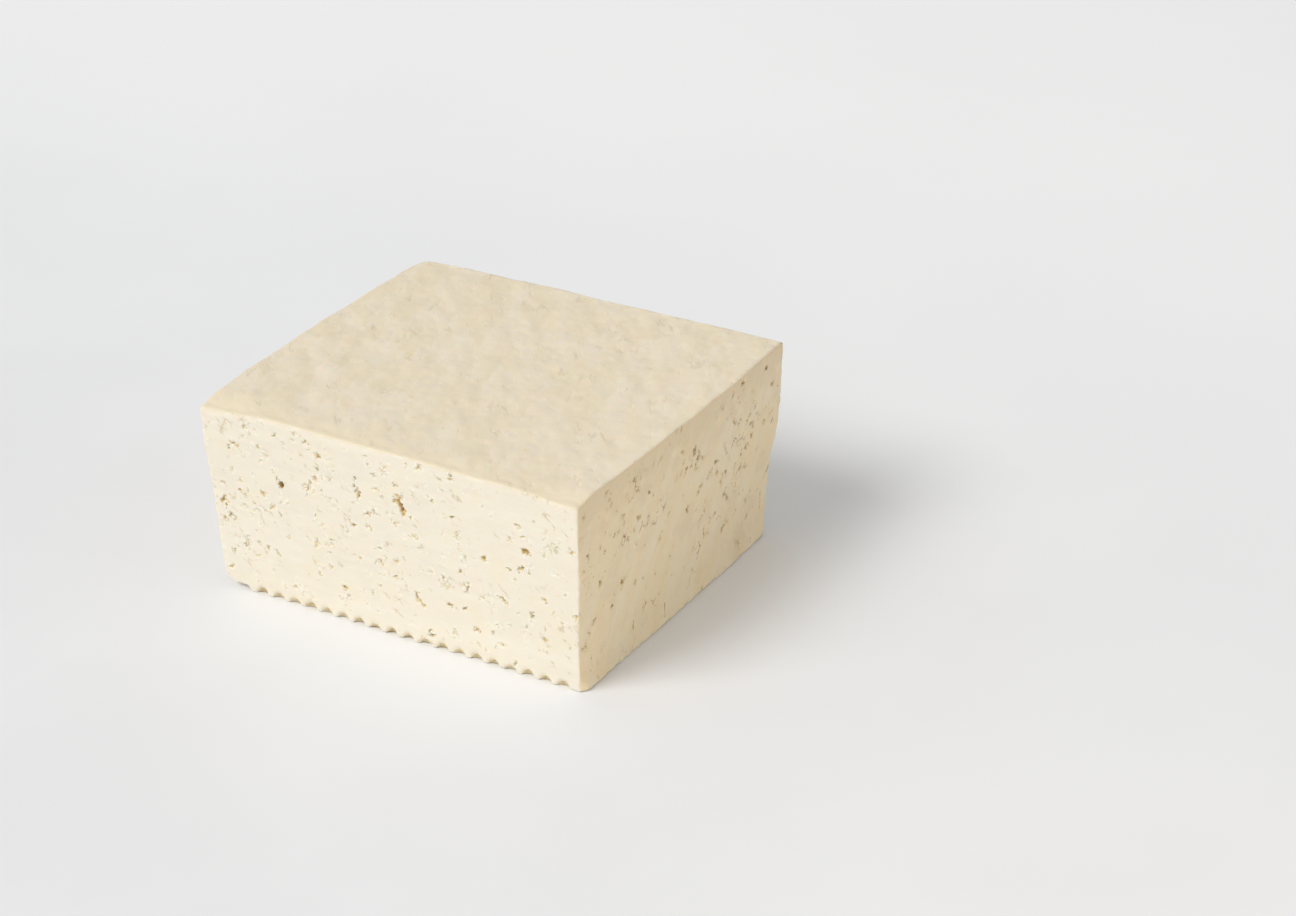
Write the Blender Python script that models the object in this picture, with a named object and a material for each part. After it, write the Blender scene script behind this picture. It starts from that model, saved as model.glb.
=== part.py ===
"""A block of firm pressed tofu, cut from a longer cake that set in a ribbed mould.

The block stands on its ribbed underside, +Z up. +X runs along the long cut face,
+Y runs away from that face, and the origin is the middle of the bottom of the
block's bounding box. Units are metres.

Two of the four sides are knife cuts and stand nearly square: the front (-Y) and
the right (+X). The other two stood against the mould: the left (-X) and the back
(+Y) lean in towards the bottom, are rounded at the foot, and meet in a rounded
upright corner. The top is the pressed skin, a little crowned. The underside keeps
the print of the pressing board, grooves that run from front to back.
"""

import math
import random

import bmesh
import bpy
from mathutils import Matrix, Vector

# ---------------------------------------------------------------- driving sizes
LENGTH = 0.1110            # X, mould wall to cut face, measured at the top
DEPTH = 0.0981             # Y, cut face to mould wall, measured at the top
HEIGHT = 0.0514            # Z, at the skin's edges

CROWN = 0.0003             # the top skin's rise at the middle
CORNER_DROP = 0.0007       # its four corners sit lower by about this much
CORNER_DROP_LEFT = 0.4     # by this share more at the left, and less at the right
CORNER_DROP_FRONT = 0.35   # by this share more at the front, and less at the back
SIDE_BULGE = 0.0007        # how far the left and right sides swell in plan
WAVER = 0.00022            # slow unevenness of the skin and of the mould walls
WAVER_LENGTH = 0.031       # about how far apart its humps are

RIB_PITCH = 0.0050         # the pressing board's ribs
GROOVE_DEPTH = 0.0018
LAND_SHARE = 0.24          # how much of the pitch is flat land
GROOVE_FULLNESS = 0.75     # below 1 the arch between two lands is fuller
GROOVE_POINTS = 5          # points on a groove's arch, between its two feet
FIRST_LAND = 0.0126        # mould wall to the middle of the first land
SHELF_HEIGHT = 0.0013      # the plain strip beside the wall stands off the table

LEFT_LEAN = 0.0038         # how far the left wall leans in, from top to foot
BACK_LEAN = 0.0066         # the same for the back wall, at its middle
BACK_LEAN_SKEW = 0.0016    # more at the right end, less at the left
LEAN_POWER = 1.2
CUT_LEAN = 0.0009          # the right cut drifts in by this much below its middle
CORNER_TUCK = 0.0004       # and its far end stands in by this much
FOOT_FLARE = 0.0014        # the right cut's foot spreads by this much
FLARE_HEIGHT = 0.0050      # up to this height
BACK_SKEW = 0.0006         # the back edge runs this much off square at each end
BACK_KICK = 0.0009         # and its right end kicks out by this much
DENT_DEPTH = 0.0018        # a soft step in the back wall, deepest at the right
DENT_TOP = 0.0265
DENT_BOTTOM = 0.0220

FOOT_RADIUS = 0.0044       # round lower edge of the two mould walls
CORNER_RADIUS = 0.0030     # round upright corner between them
SKIN_EDGE_RADIUS = 0.0009  # soft upper edge, where the pressing cloth folded over

STATIONS = 11              # evenly spaced cross-sections from front to back
NEAR_STATION = 0.02        # one more, at this share of the depth, for the near corner
WALL_LEVELS = 8            # evenly spaced levels up a wall, between foot and top edge
ARC_STEPS = 4              # points round a foot or a top edge
TOP_POINTS = 13            # points across the top skin
CORNER_SLICES = 8          # slices of the back face where the corner turns
CORNER_SLICE_WIDTH = 0.0013

# -------------------------------------------------------------------- hollows
SEED = 41
HOLLOW_DETAIL = 2          # subdivisions of each hollow's round body
SMALL_HOLLOWS = 14         # scattered over each cut face, beside the named ones
SMALL_RADIUS = (0.0005, 0.0009)
HOLLOW_MARGIN = 0.0040     # small hollows keep this far from a face's edges
HOLLOW_SPACING = 0.0055

# Large hollows: place along the face and height (mm from the block's left front
# foot, or along the right face from the front), half sizes across and up (mm),
# and the turn of the long axis from upright (degrees).
FRONT_HOLLOWS = (
    (23.8, 33.6, 1.3, 1.1, 15.0),
    (60.5, 37.0, 1.0, 2.5, -10.0),
    (32.5, 35.2, 0.8, 1.6, 50.0),
    (13.8, 47.2, 1.0, 0.7, 60.0),
    (9.9, 42.4, 0.8, 1.4, 40.0),
    (7.0, 20.6, 1.8, 0.8, 20.0),
    (11.7, 13.5, 1.4, 0.7, 10.0),
    (18.3, 14.6, 0.6, 1.1, 25.0),
    (46.9, 37.6, 0.6, 1.3, 30.0),
    (64.2, 12.6, 1.6, 0.7, 10.0),
    (72.6, 13.6, 0.7, 0.7, 0.0),
    (77.0, 20.2, 0.7, 1.2, -35.0),
    (89.2, 19.6, 0.9, 1.2, 35.0),
    (94.4, 30.0, 0.7, 1.0, -20.0),
)
RIGHT_HOLLOWS = (
    (54.5, 38.9, 0.7, 1.0, 20.0),
    (75.4, 48.0, 0.9, 0.7, 0.0),
    (88.6, 46.6, 0.8, 1.1, -15.0),
    (92.6, 41.8, 0.7, 1.3, 35.0),
    (82.2, 34.0, 0.6, 1.4, -10.0),
    (65.2, 29.9, 0.8, 1.1, -25.0),
    (72.6, 20.4, 0.6, 1.2, 30.0),
    (50.8, 26.6, 0.7, 1.2, -15.0),
    (25.8, 43.3, 0.6, 0.9, 15.0),
    (20.2, 20.7, 0.7, 1.0, 30.0),
)

MILLIMETRE = 0.001
LEFT_EDGE = -LENGTH / 2
RIGHT_EDGE = LENGTH / 2
FRONT_EDGE = -DEPTH / 2
BACK_EDGE = DEPTH / 2


# ------------------------------------------------------------- shape functions
def smooth_ramp(value, start, end):
    """Goes from 0 at start to 1 at end, with level ends."""
    share = min(max((value - start) / (end - start), 0.0), 1.0)
    return share * share * (3.0 - 2.0 * share)


def drop_share(z):
    """How far down the wall a height is: 0 at the top edge, 1 at the table."""
    return min(max((HEIGHT - z) / HEIGHT, 0.0), 1.0)


def round_inset(distance, radius):
    """How far a quarter round stands back, at a distance from its end."""
    reach = min(max(radius - distance, 0.0), radius)
    return radius - math.sqrt(radius * radius - reach * reach)


def waver(along, across):
    """A slow unevenness, from -1 to 1, over a face."""
    turn = 2.0 * math.pi / WAVER_LENGTH
    return 0.6 * math.sin(turn * (along + 0.3 * across)) * math.cos(0.8 * turn * across) + \
        0.4 * math.sin(1.7 * turn * across - 0.9 * turn * along + 1.0)


def left_wall(z):
    """X of the left mould wall at a height: it leans in and its foot is round."""
    lean = LEFT_LEAN * drop_share(z) ** LEAN_POWER
    foot = round_inset(z - SHELF_HEIGHT, FOOT_RADIUS)
    top = round_inset(HEIGHT - z, SKIN_EDGE_RADIUS)
    return LEFT_EDGE + lean + foot + top


def right_wall(z):
    """X of the right cut face at a height: the knife drifted in below the middle."""
    return RIGHT_EDGE - CUT_LEAN * smooth_ramp(drop_share(z), 0.3, 0.8)


def back_wall(x, z):
    """Y of the back mould wall: leaning, dented, and turning at the left corner."""
    along = x / RIGHT_EDGE
    lean = (BACK_LEAN + BACK_LEAN_SKEW * along) * drop_share(z) ** LEAN_POWER
    dent = DENT_DEPTH * smooth_ramp(-z, -DENT_TOP, -DENT_BOTTOM) * smooth_ramp(along, -0.3, 1.0)
    foot = round_inset(z, FOOT_RADIUS)
    top = round_inset(HEIGHT - z, SKIN_EDGE_RADIUS)
    corner = round_inset(x - left_wall(z), CORNER_RADIUS)
    edge = BACK_EDGE + BACK_SKEW * along + BACK_KICK * smooth_ramp(along, 0.3, 1.0)
    return edge - lean - dent - foot - top - corner


def groove_height(share):
    """Height of the underside at a share of the rib pitch, 0 at a land's middle."""
    climb = (1.0 - abs(2.0 * share - 1.0) - LAND_SHARE) / (1.0 - LAND_SHARE)
    if climb <= 0.0:
        return 0.0
    return GROOVE_DEPTH * (0.5 - 0.5 * math.cos(math.pi * climb)) ** GROOVE_FULLNESS


def settle(point):
    """Moves a point of the straight bar to where it is in the pressed block."""
    share = (point.y - FRONT_EDGE) / DEPTH
    middle = 1.0 - (2.0 * share - 1.0) ** 2
    across = point.x / RIGHT_EDGE
    lift = (point.z / HEIGHT) ** 2
    left_share = smooth_ramp(-across, 0.6, 1.0)
    right_share = smooth_ramp(across, 0.9, 0.98)
    foot_share = smooth_ramp(-point.z, -FLARE_HEIGHT, 0.0)
    x = point.x + SIDE_BULGE * middle * across * lift
    x += WAVER * lift * left_share * waver(point.y, point.z)
    x += FOOT_FLARE * right_share * foot_share * smooth_ramp(share, 0.0, NEAR_STATION)
    x -= CORNER_TUCK * right_share * smooth_ramp(share, 0.7, 1.0)
    y = FRONT_EDGE + share * (back_wall(point.x, point.z) - FRONT_EDGE)
    y += WAVER * lift * smooth_ramp(share, 0.7, 1.0) * waver(point.x, point.z)
    crown = CROWN * (1.0 - across * across)
    drop = CORNER_DROP * (1.0 - CORNER_DROP_LEFT * across)
    drop *= 1.0 - CORNER_DROP_FRONT * (2.0 * share - 1.0)
    drop *= smooth_ramp(abs(2.0 * share - 1.0), 0.84, 1.0)
    crown -= drop * smooth_ramp(abs(across), 0.6, 1.0)
    z = point.z + lift * (crown + WAVER * waver(point.x, point.y))
    return Vector((x, y, z))


# --------------------------------------------------------------- cross-section
def arc_levels():
    """Shares of a radius at which a rounded edge has its points."""
    return [1.0 - math.cos(math.radians(90.0) * step / ARC_STEPS) for step in range(ARC_STEPS)]


def wall_heights():
    """Heights of the points up a wall, close together where it is rounded."""
    foot_top = SHELF_HEIGHT + FOOT_RADIUS
    edge_start = HEIGHT - SKIN_EDGE_RADIUS
    foot = [SHELF_HEIGHT + FOOT_RADIUS * level for level in arc_levels()]
    span = (edge_start - foot_top) / WALL_LEVELS
    middle = [foot_top + span * step for step in range(WALL_LEVELS + 1)]
    edge = [HEIGHT - SKIN_EDGE_RADIUS * level for level in reversed(arc_levels())]
    return foot + middle + edge


def underside_points():
    """The ribbed underside from the left shelf to the right cut, left to right.

    The last land runs on to the cut, which stands on it.
    """
    first_land = LEFT_EDGE + FIRST_LAND
    cut_x = right_wall(0.0)
    grooves = int((cut_x - first_land) / RIB_PITCH)
    span = (1.0 - LAND_SHARE) / (GROOVE_POINTS + 1)
    arch = [LAND_SHARE / 2 + span * step for step in range(GROOVE_POINTS + 2)]
    points = [
        (first_land - RIB_PITCH / 2, SHELF_HEIGHT),
        (first_land - RIB_PITCH * LAND_SHARE / 2, 0.0),
    ]
    for groove in range(grooves):
        start = first_land + RIB_PITCH * groove
        points += [(start + RIB_PITCH * share, groove_height(share)) for share in arch]
    points.append((cut_x, 0.0))
    return points


def section_outline():
    """The block's X-Z outline at the front, once round."""
    heights = wall_heights()
    underside = underside_points()
    right = [(right_wall(z), z) for z in heights if z > SHELF_HEIGHT]
    span = (RIGHT_EDGE - left_wall(HEIGHT)) / (TOP_POINTS + 1)
    top = [(RIGHT_EDGE - span * (step + 1), HEIGHT) for step in range(TOP_POINTS)]
    left = [(left_wall(z), z) for z in reversed(heights)]
    return underside + right + top + left


# ------------------------------------------------------------------- the block
def extrude_bar(mesh, outline):
    """Fills the outline and draws it out from front to back."""
    ring = [mesh.verts.new((x, FRONT_EDGE, z)) for x, z in outline]
    face = mesh.faces.new(ring)
    front = face
    shares = [0.0, NEAR_STATION] + [step / (STATIONS - 1) for step in range(1, STATIONS)]
    for before, after in zip(shares, shares[1:]):
        region = [face, *face.edges, *face.verts]
        copy = bmesh.ops.extrude_face_region(mesh, geom=region)
        face = next(item for item in copy["geom"] if isinstance(item, bmesh.types.BMFace))
        move = Vector((0.0, DEPTH * (after - before), 0.0))
        bmesh.ops.translate(mesh, verts=face.verts, vec=move)
    return front, face


def slice_face(mesh, faces, place, normal):
    """Cuts faces along a plane and gives back all the faces they became."""
    edges = {edge for face in faces for edge in face.edges}
    verts = {vert for face in faces for vert in face.verts}
    cut = bmesh.ops.bisect_plane(mesh, geom=list(faces) + list(edges) + list(verts),
                                 dist=1e-7, plane_co=place, plane_no=normal)
    return {item for item in cut["geom"] if isinstance(item, bmesh.types.BMFace)}


def slice_ends(mesh, front, back):
    """Divides the two end faces, so that the back one can lean, round and turn."""
    heights = [z for z in wall_heights() if z > GROOVE_DEPTH]
    front_faces = {front}
    back_faces = {back}
    for z in heights[:-1]:
        place = Vector((0.0, 0.0, z))
        front_faces = slice_face(mesh, front_faces, place, Vector((0.0, 0.0, 1.0)))
        back_faces = slice_face(mesh, back_faces, place, Vector((0.0, 0.0, 1.0)))
    for step in range(1, CORNER_SLICES + 1):
        place = Vector((LEFT_EDGE + CORNER_SLICE_WIDTH * step, 0.0, 0.0))
        back_faces = slice_face(mesh, back_faces, place, Vector((1.0, 0.0, 0.0)))


def build_block_mesh():
    """The pressed block, without its hollows."""
    mesh = bmesh.new()
    front, back = extrude_bar(mesh, section_outline())
    slice_ends(mesh, front, back)
    for vert in mesh.verts:
        vert.co = settle(vert.co)
    bmesh.ops.triangulate(mesh, faces=mesh.faces)
    bmesh.ops.recalc_face_normals(mesh, faces=mesh.faces)
    return mesh


def centring_shift(mesh):
    """The move that puts the middle of the bottom of the box at the origin."""
    xs = [vert.co.x for vert in mesh.verts]
    ys = [vert.co.y for vert in mesh.verts]
    zs = [vert.co.z for vert in mesh.verts]
    return Vector((-(min(xs) + max(xs)) / 2, -(min(ys) + max(ys)) / 2, -min(zs)))


# ----------------------------------------------------------------- the hollows
def front_spot(along, height):
    """Where a hollow's middle is on the front face."""
    return settle(Vector((LEFT_EDGE + along, FRONT_EDGE, height)))


def right_spot(along, height):
    """Where a hollow's middle is on the right face."""
    return settle(Vector((right_wall(height), FRONT_EDGE + along, height)))


def add_hollow(mesh, spot, outward, across, up, turn):
    """Adds one egg-shaped cutter, sunk so that the face cuts it off its middle."""
    depth = max(across, up) * 0.8
    side = Vector((0.0, 0.0, 1.0)).cross(outward)
    frame = Matrix((side, outward, Vector((0.0, 0.0, 1.0)))).transposed().to_4x4()
    roll = Matrix.Rotation(math.radians(turn), 4, "Y")
    size = Matrix.Diagonal((across, depth, up, 1.0))
    place = Matrix.Translation(spot - outward * depth * 0.25)
    bmesh.ops.create_icosphere(mesh, subdivisions=HOLLOW_DETAIL, radius=1.0,
                               matrix=place @ frame @ roll @ size)


def scattered_spots(rng, width, taken):
    """Places for the small hollows of a face, clear of each other and the edges."""
    spots = []
    while len(spots) < SMALL_HOLLOWS:
        along = rng.uniform(HOLLOW_MARGIN, width - HOLLOW_MARGIN)
        height = rng.uniform(HOLLOW_MARGIN, HEIGHT - HOLLOW_MARGIN)
        if all(math.hypot(along - a, height - h) > HOLLOW_SPACING for a, h in taken + spots):
            spots.append((along, height))
    return spots


def add_face_hollows(mesh, rng, spot_on_face, outward, named, width):
    """Adds the named hollows of a face and scatters the small ones among them."""
    places = [(along * MILLIMETRE, height * MILLIMETRE) for along, height, *_ in named]
    for (along, height), (_, _, across, up, turn) in zip(places, named):
        add_hollow(mesh, spot_on_face(along, height), outward,
                   across * MILLIMETRE, up * MILLIMETRE, turn)
    for along, height in scattered_spots(rng, width, places):
        across = rng.uniform(*SMALL_RADIUS)
        add_hollow(mesh, spot_on_face(along, height), outward,
                   across, across * rng.uniform(1.0, 1.6), rng.uniform(-60.0, 60.0))


def build_hollow_mesh():
    """All the hollows of the two cut faces, as one cutter."""
    rng = random.Random(SEED)
    mesh = bmesh.new()
    add_face_hollows(mesh, rng, front_spot, Vector((0.0, -1.0, 0.0)), FRONT_HOLLOWS, LENGTH)
    back_foot = DEPTH - BACK_LEAN - FOOT_RADIUS
    add_face_hollows(mesh, rng, right_spot, Vector((1.0, 0.0, 0.0)), RIGHT_HOLLOWS, back_foot)
    bmesh.ops.recalc_face_normals(mesh, faces=mesh.faces)
    return mesh


# ---------------------------------------------------------------- the objects
def tofu_material():
    """Pale bean curd: warm cream, moist but not shiny."""
    material = bpy.data.materials.new("tofu_curd")
    material.use_nodes = True
    shader = material.node_tree.nodes["Principled BSDF"]
    shader.inputs["Base Color"].default_value = (0.86, 0.78, 0.61, 1.0)
    shader.inputs["Roughness"].default_value = 0.55
    shader.inputs["Metallic"].default_value = 0.0
    return material


def object_from_mesh(name, mesh):
    """Makes a scene object from a finished bmesh, and frees the bmesh."""
    data = bpy.data.meshes.new(name)
    mesh.to_mesh(data)
    mesh.free()
    item = bpy.data.objects.new(name, data)
    bpy.context.scene.collection.objects.link(item)
    return item


def hide_cutter(cutter):
    """Marks an object as a construction guide."""
    cutter.hide_render = True
    cutter.display_type = "WIRE"


def cut_hollows(block, cutter):
    """Takes the hollows out of the block."""
    boolean = block.modifiers.new("hollows", "BOOLEAN")
    boolean.operation = "DIFFERENCE"
    boolean.solver = "EXACT"
    boolean.object = cutter


def clear_scene():
    """Removes every object of the scene."""
    for item in list(bpy.data.objects):
        bpy.data.objects.remove(item, do_unlink=True)


def main():
    """Builds the tofu block."""
    clear_scene()
    block_mesh = build_block_mesh()
    hollow_mesh = build_hollow_mesh()
    shift = centring_shift(block_mesh)
    bmesh.ops.translate(block_mesh, verts=block_mesh.verts, vec=shift)
    bmesh.ops.translate(hollow_mesh, verts=hollow_mesh.verts, vec=shift)
    block = object_from_mesh("tofu_block", block_mesh)
    block.data.materials.append(tofu_material())
    cutter = object_from_mesh("hollow_cutter", hollow_mesh)
    hide_cutter(cutter)
    cut_hollows(block, cutter)


main()
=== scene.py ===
"""The looks of a block of firm pressed tofu.

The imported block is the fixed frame. Its box gives the length, depth and height, and the one
piece built here, ``pressed_tofu``, stands for it. The piece is a single closed mesh of fine
triangles. It is laid out face by face in the straight bar that the block would be without its
lean, joined along the bar's twelve edges, settled into the leaning, crowned block, and given
the relief of each face: knife cuts with torn curd holes, a cloth-pressed skin, smooth mould
walls and the print of a ribbed board.
"""

from __future__ import annotations

import logging
import math
from dataclasses import dataclass, field
from enum import Enum, IntEnum
from typing import Sequence

import bpy
import numpy as np
from mathutils import Matrix, Vector
from mathutils.geometry import delaunay_2d_cdt


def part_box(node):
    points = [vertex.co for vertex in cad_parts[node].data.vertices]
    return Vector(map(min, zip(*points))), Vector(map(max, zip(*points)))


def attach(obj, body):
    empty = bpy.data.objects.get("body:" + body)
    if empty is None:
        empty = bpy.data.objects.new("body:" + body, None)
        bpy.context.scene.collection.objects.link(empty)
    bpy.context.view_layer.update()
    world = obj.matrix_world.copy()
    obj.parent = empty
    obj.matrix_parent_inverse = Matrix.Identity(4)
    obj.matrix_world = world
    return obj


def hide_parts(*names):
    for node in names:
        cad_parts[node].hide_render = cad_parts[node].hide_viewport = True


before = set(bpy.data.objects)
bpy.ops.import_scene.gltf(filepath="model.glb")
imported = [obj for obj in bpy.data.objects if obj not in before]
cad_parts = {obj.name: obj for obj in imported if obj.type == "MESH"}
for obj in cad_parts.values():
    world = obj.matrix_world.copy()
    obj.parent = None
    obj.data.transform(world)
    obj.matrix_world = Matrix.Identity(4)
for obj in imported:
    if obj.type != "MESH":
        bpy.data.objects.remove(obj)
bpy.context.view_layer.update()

MM = 0.001
NODE = "tofu_block"
PIECE = "pressed_tofu"
HOLLOW = "hollow"          # vertex attribute: 0 on a face, 1 deep in a tear, below 0 on a rim
# On the end cut this share reaches far down and paints shade over the face's upper strip; elsewhere it
# is the skin's own tone.
SKIN_TONE_AND_SHADE = "skin_tone_and_shade"  # vertex attribute: 1 beside the pressed skin, 0 well below it
EDGE_BAND = "edge_band"    # vertex attribute: 1 at the skin's front edge, 0 well inside it
RUST = "rust"              # vertex attribute: 1 where whey has turned the curd rusty

Array = np.ndarray
Triple = tuple[float, float, float]
Colour = tuple[float, float, float]
Socket = bpy.types.NodeSocket
Outputs = bpy.types.NodeOutputs
Source = Socket | float | tuple[float, ...]  # a socket to join, or a value to set
log = logging.getLogger("pressed_tofu")


class Seed(IntEnum):
    """Where each random draw starts, so that every run makes the same block.

    A draw that needs more than one start counts on from its own.
    """

    FACE_POINTS = 1
    LONG_CUT_SMALL = 11
    LONG_CUT_FINE = 12
    END_CUT_SMALL = 23
    END_CUT_FINE = 24
    LONG_CUT_TEARS = 31
    END_CUT_TEARS = 37
    LONG_CUT_RELIEF = 51
    END_CUT_RELIEF = 61
    SKIN_RELIEF = 71
    LEFT_WALL_RELIEF = 81
    BACK_WALL_RELIEF = 91
    EDGES = 101
    SKIN_REACH = 121


# ---- small sums
def smooth_ramp(value: Array, start: float, end: float) -> Array:
    """Return values as shares with level ends: 0 at the start and before it, 1 at the end."""
    share = np.clip((value - start) / (end - start), 0.0, 1.0)
    return share * share * (3.0 - 2.0 * share)


def round_inset(distance: Array, radius: float) -> Array:
    """Return how far a quarter round stands back at distances from its outer end."""
    reach = np.clip(radius - distance, 0.0, radius)
    return radius - np.sqrt(radius * radius - reach * reach)


class RippleField:
    """A smooth seeded field over a plane, made of crossing waves of about one length."""

    waves = 22
    length_spread = (0.6, 1.6)

    def __init__(
        self, seed: int, wavelength: float, stretch: float = 1.0, turn: float = 0.0
    ) -> None:
        """Draw the waves.

        Args:
            seed: Seed of the draw.
            wavelength: Usual length of the waves.
            stretch: How many times longer the field is along its lay than across it.
            turn: Angle of the lay from the plane's first axis, in degrees.
        """
        rng = np.random.default_rng(seed)
        heading = rng.uniform(0.0, 2.0 * math.pi, self.waves)
        pace = 2.0 * math.pi / (wavelength * rng.uniform(*self.length_spread, self.waves))
        along = pace * np.cos(heading) / stretch
        across = pace * np.sin(heading)
        lay = math.radians(turn)
        self.steps_u = along * math.cos(lay) - across * math.sin(lay)
        self.steps_v = along * math.sin(lay) + across * math.cos(lay)
        self.phases = rng.uniform(0.0, 2.0 * math.pi, self.waves)

    def at(self, u: Array, v: Array) -> Array:
        """Return the field's values at places of the plane, mostly between -1 and 1."""
        total = np.zeros_like(u)
        for step_u, step_v, phase in zip(self.steps_u, self.steps_v, self.phases):
            total += np.cos(step_u * u + step_v * v + phase)
        return total / math.sqrt(self.waves)


# ---- outer form
@dataclass(frozen=True)
class BlockForm:
    """The pressed block's outer form, as functions of the straight bar's coordinates.

    X runs from the left mould wall to the end cut, Y from the long cut to the back mould wall,
    and Z up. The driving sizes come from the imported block's box. A ``_start`` or ``_end`` is
    where something sets in or is complete, as a share of the way down a wall, of the way from
    front to back, or of the way out from the block's middle.
    """

    length: float
    depth: float
    height: float
    middle: float
    front: float

    crown: float = 0.3 * MM
    skin_rise: float = 0.17 * MM
    corner_drop: float = 0.7 * MM
    corner_drop_left: float = 0.4
    corner_drop_front: float = 0.35
    side_bulge: float = 0.7 * MM
    waver: float = 0.22 * MM
    waver_length: float = 31.0 * MM
    rib_pitch: float = 5.0 * MM
    groove_depth: float = 1.8 * MM
    groove_unevenness: float = 0.14
    groove_beat: float = 2.4
    groove_phase: float = 0.7
    groove_pinch: float = 0.95
    pinch_lead: float = 0.8 * MM
    pinch_behind: float = 1.3 * MM
    pinch_opens: float = 9.0 * MM
    land_share: float = 0.24
    groove_fullness: float = 0.5
    first_land: float = 12.6 * MM
    shelf_height: float = 1.3 * MM
    left_lean: float = 3.8 * MM
    back_lean: float = 6.6 * MM
    back_lean_skew: float = 1.6 * MM
    lean_power: float = 1.2
    cut_lean: float = 0.9 * MM
    cut_lean_start: float = 0.3
    cut_lean_end: float = 0.8
    side_start: float = 0.9
    side_end: float = 0.98
    corner_tuck: float = 0.4 * MM
    back_start: float = 0.7
    corner_start: float = 0.6
    corner_drop_start: float = 0.84
    foot_flare: float = 1.4 * MM
    flare_height: float = 5.0 * MM
    flare_end: float = 0.02
    back_skew: float = 0.6 * MM
    back_kick: float = 0.9 * MM
    kick_start: float = 0.3
    dent_start: float = -0.3
    dent_depth: float = 1.8 * MM
    dent_top: float = 26.5 * MM
    dent_bottom: float = 22.0 * MM
    foot_radius: float = 4.4 * MM
    corner_radius: float = 3.0 * MM
    skin_edge_radius: float = 0.9 * MM

    @classmethod
    def from_frame(cls) -> BlockForm:
        """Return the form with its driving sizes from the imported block's box."""
        low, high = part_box(NODE)
        size = high - low
        return cls(
            length=size.x - 2.0 * cls.side_bulge,
            depth=size.y - cls.back_skew - cls.back_kick,
            height=size.z - cls.crown - cls.skin_rise,
            middle=(low.x + high.x) / 2.0,
            front=low.y,
        )

    @property
    def left(self) -> float:
        """X of the left wall's upper edge."""
        return self.middle - self.length / 2.0

    @property
    def right(self) -> float:
        """X of the end cut's upper edge."""
        return self.middle + self.length / 2.0

    @property
    def back(self) -> float:
        """Y of the back wall's upper edge."""
        return self.front + self.depth

    def drop_share(self, z: Array) -> Array:
        """Return how far down a wall a height is: 0 at the top edge, 1 at the table."""
        return np.clip((self.height - z) / self.height, 0.0, 1.0)

    def across_share(self, x: Array) -> Array:
        """Return where X is between the left wall, -1, and the end cut, 1."""
        return (x - self.middle) / (self.length / 2.0)

    def left_wall(self, z: Array) -> Array:
        """Return X of the left mould wall at a height."""
        lean = self.left_lean * self.drop_share(z) ** self.lean_power
        foot = round_inset(z - self.shelf_height, self.foot_radius)
        return self.left + lean + foot + round_inset(self.height - z, self.skin_edge_radius)

    def right_wall(self, z: Array) -> Array:
        """Return X of the end cut at a height."""
        sunk = smooth_ramp(self.drop_share(z), self.cut_lean_start, self.cut_lean_end)
        return self.right - self.cut_lean * sunk

    def back_wall(self, x: Array, z: Array) -> Array:
        """Tell where the back mould wall stands.

        Args:
            x: Places across.
            z: Heights.

        Returns:
            The wall's Y at each place.
        """
        along = self.across_share(x)
        lean = self.back_lean + self.back_lean_skew * along
        dent = self.dent_depth * smooth_ramp(-z, -self.dent_top, -self.dent_bottom)
        edge = self.back + self.back_skew * along
        edge = edge + self.back_kick * smooth_ramp(along, self.kick_start, 1.0)
        edge = edge - lean * self.drop_share(z) ** self.lean_power
        edge = edge - dent * smooth_ramp(along, self.dent_start, 1.0)
        edge = edge - round_inset(z, self.foot_radius)
        edge = edge - round_inset(self.height - z, self.skin_edge_radius)
        return edge - round_inset(x - self.left_wall(z), self.corner_radius)

    def arch(self, x: Array) -> Array:
        """Tell how high the underside arches between two ribs of the pressing board.

        Args:
            x: Places across.

        Returns:
            The arch's share of the groove depth: 0 on a land, about 1 at a groove's middle.
        """
        first = self.left + self.first_land
        number = np.floor((x - first) / self.rib_pitch)
        share = np.mod((x - first) / self.rib_pitch, 1.0)
        climb = (1.0 - np.abs(2.0 * share - 1.0) - self.land_share) / (1.0 - self.land_share)
        arch = (0.5 - 0.5 * np.cos(math.pi * np.clip(climb, 0.0, 1.0))) ** self.groove_fullness
        beat = np.sin(self.groove_beat * number + self.groove_phase)
        arch = arch * (1.0 + self.groove_unevenness * beat)
        last = math.floor((self.right - self.cut_lean - first) / self.rib_pitch)
        return np.where((number >= 0) & (number < last), arch, 0.0)

    def underside(self, x: Array, y: Array) -> Array:
        """Tell how high the ribbed underside stands over the table.

        The knife has dragged curd into the grooves just behind the long cut.

        Args:
            x: Places across.
            y: Places from front to back.

        Returns:
            The heights.
        """
        first = self.left + self.first_land
        shelf_end = first - self.rib_pitch / 2.0
        foot = first - self.rib_pitch * self.land_share / 2.0
        behind = y - self.front
        closing = smooth_ramp(behind, -self.pinch_lead, self.pinch_behind)
        opening = smooth_ramp(behind, self.pinch_behind, self.pinch_opens)
        pinch = 1.0 - self.groove_pinch * closing * (1.0 - opening)
        shelf = self.shelf_height * (1.0 - smooth_ramp(x, shelf_end, foot))
        return np.where(x < foot, shelf, self.groove_depth * self.arch(x) * pinch)

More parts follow.
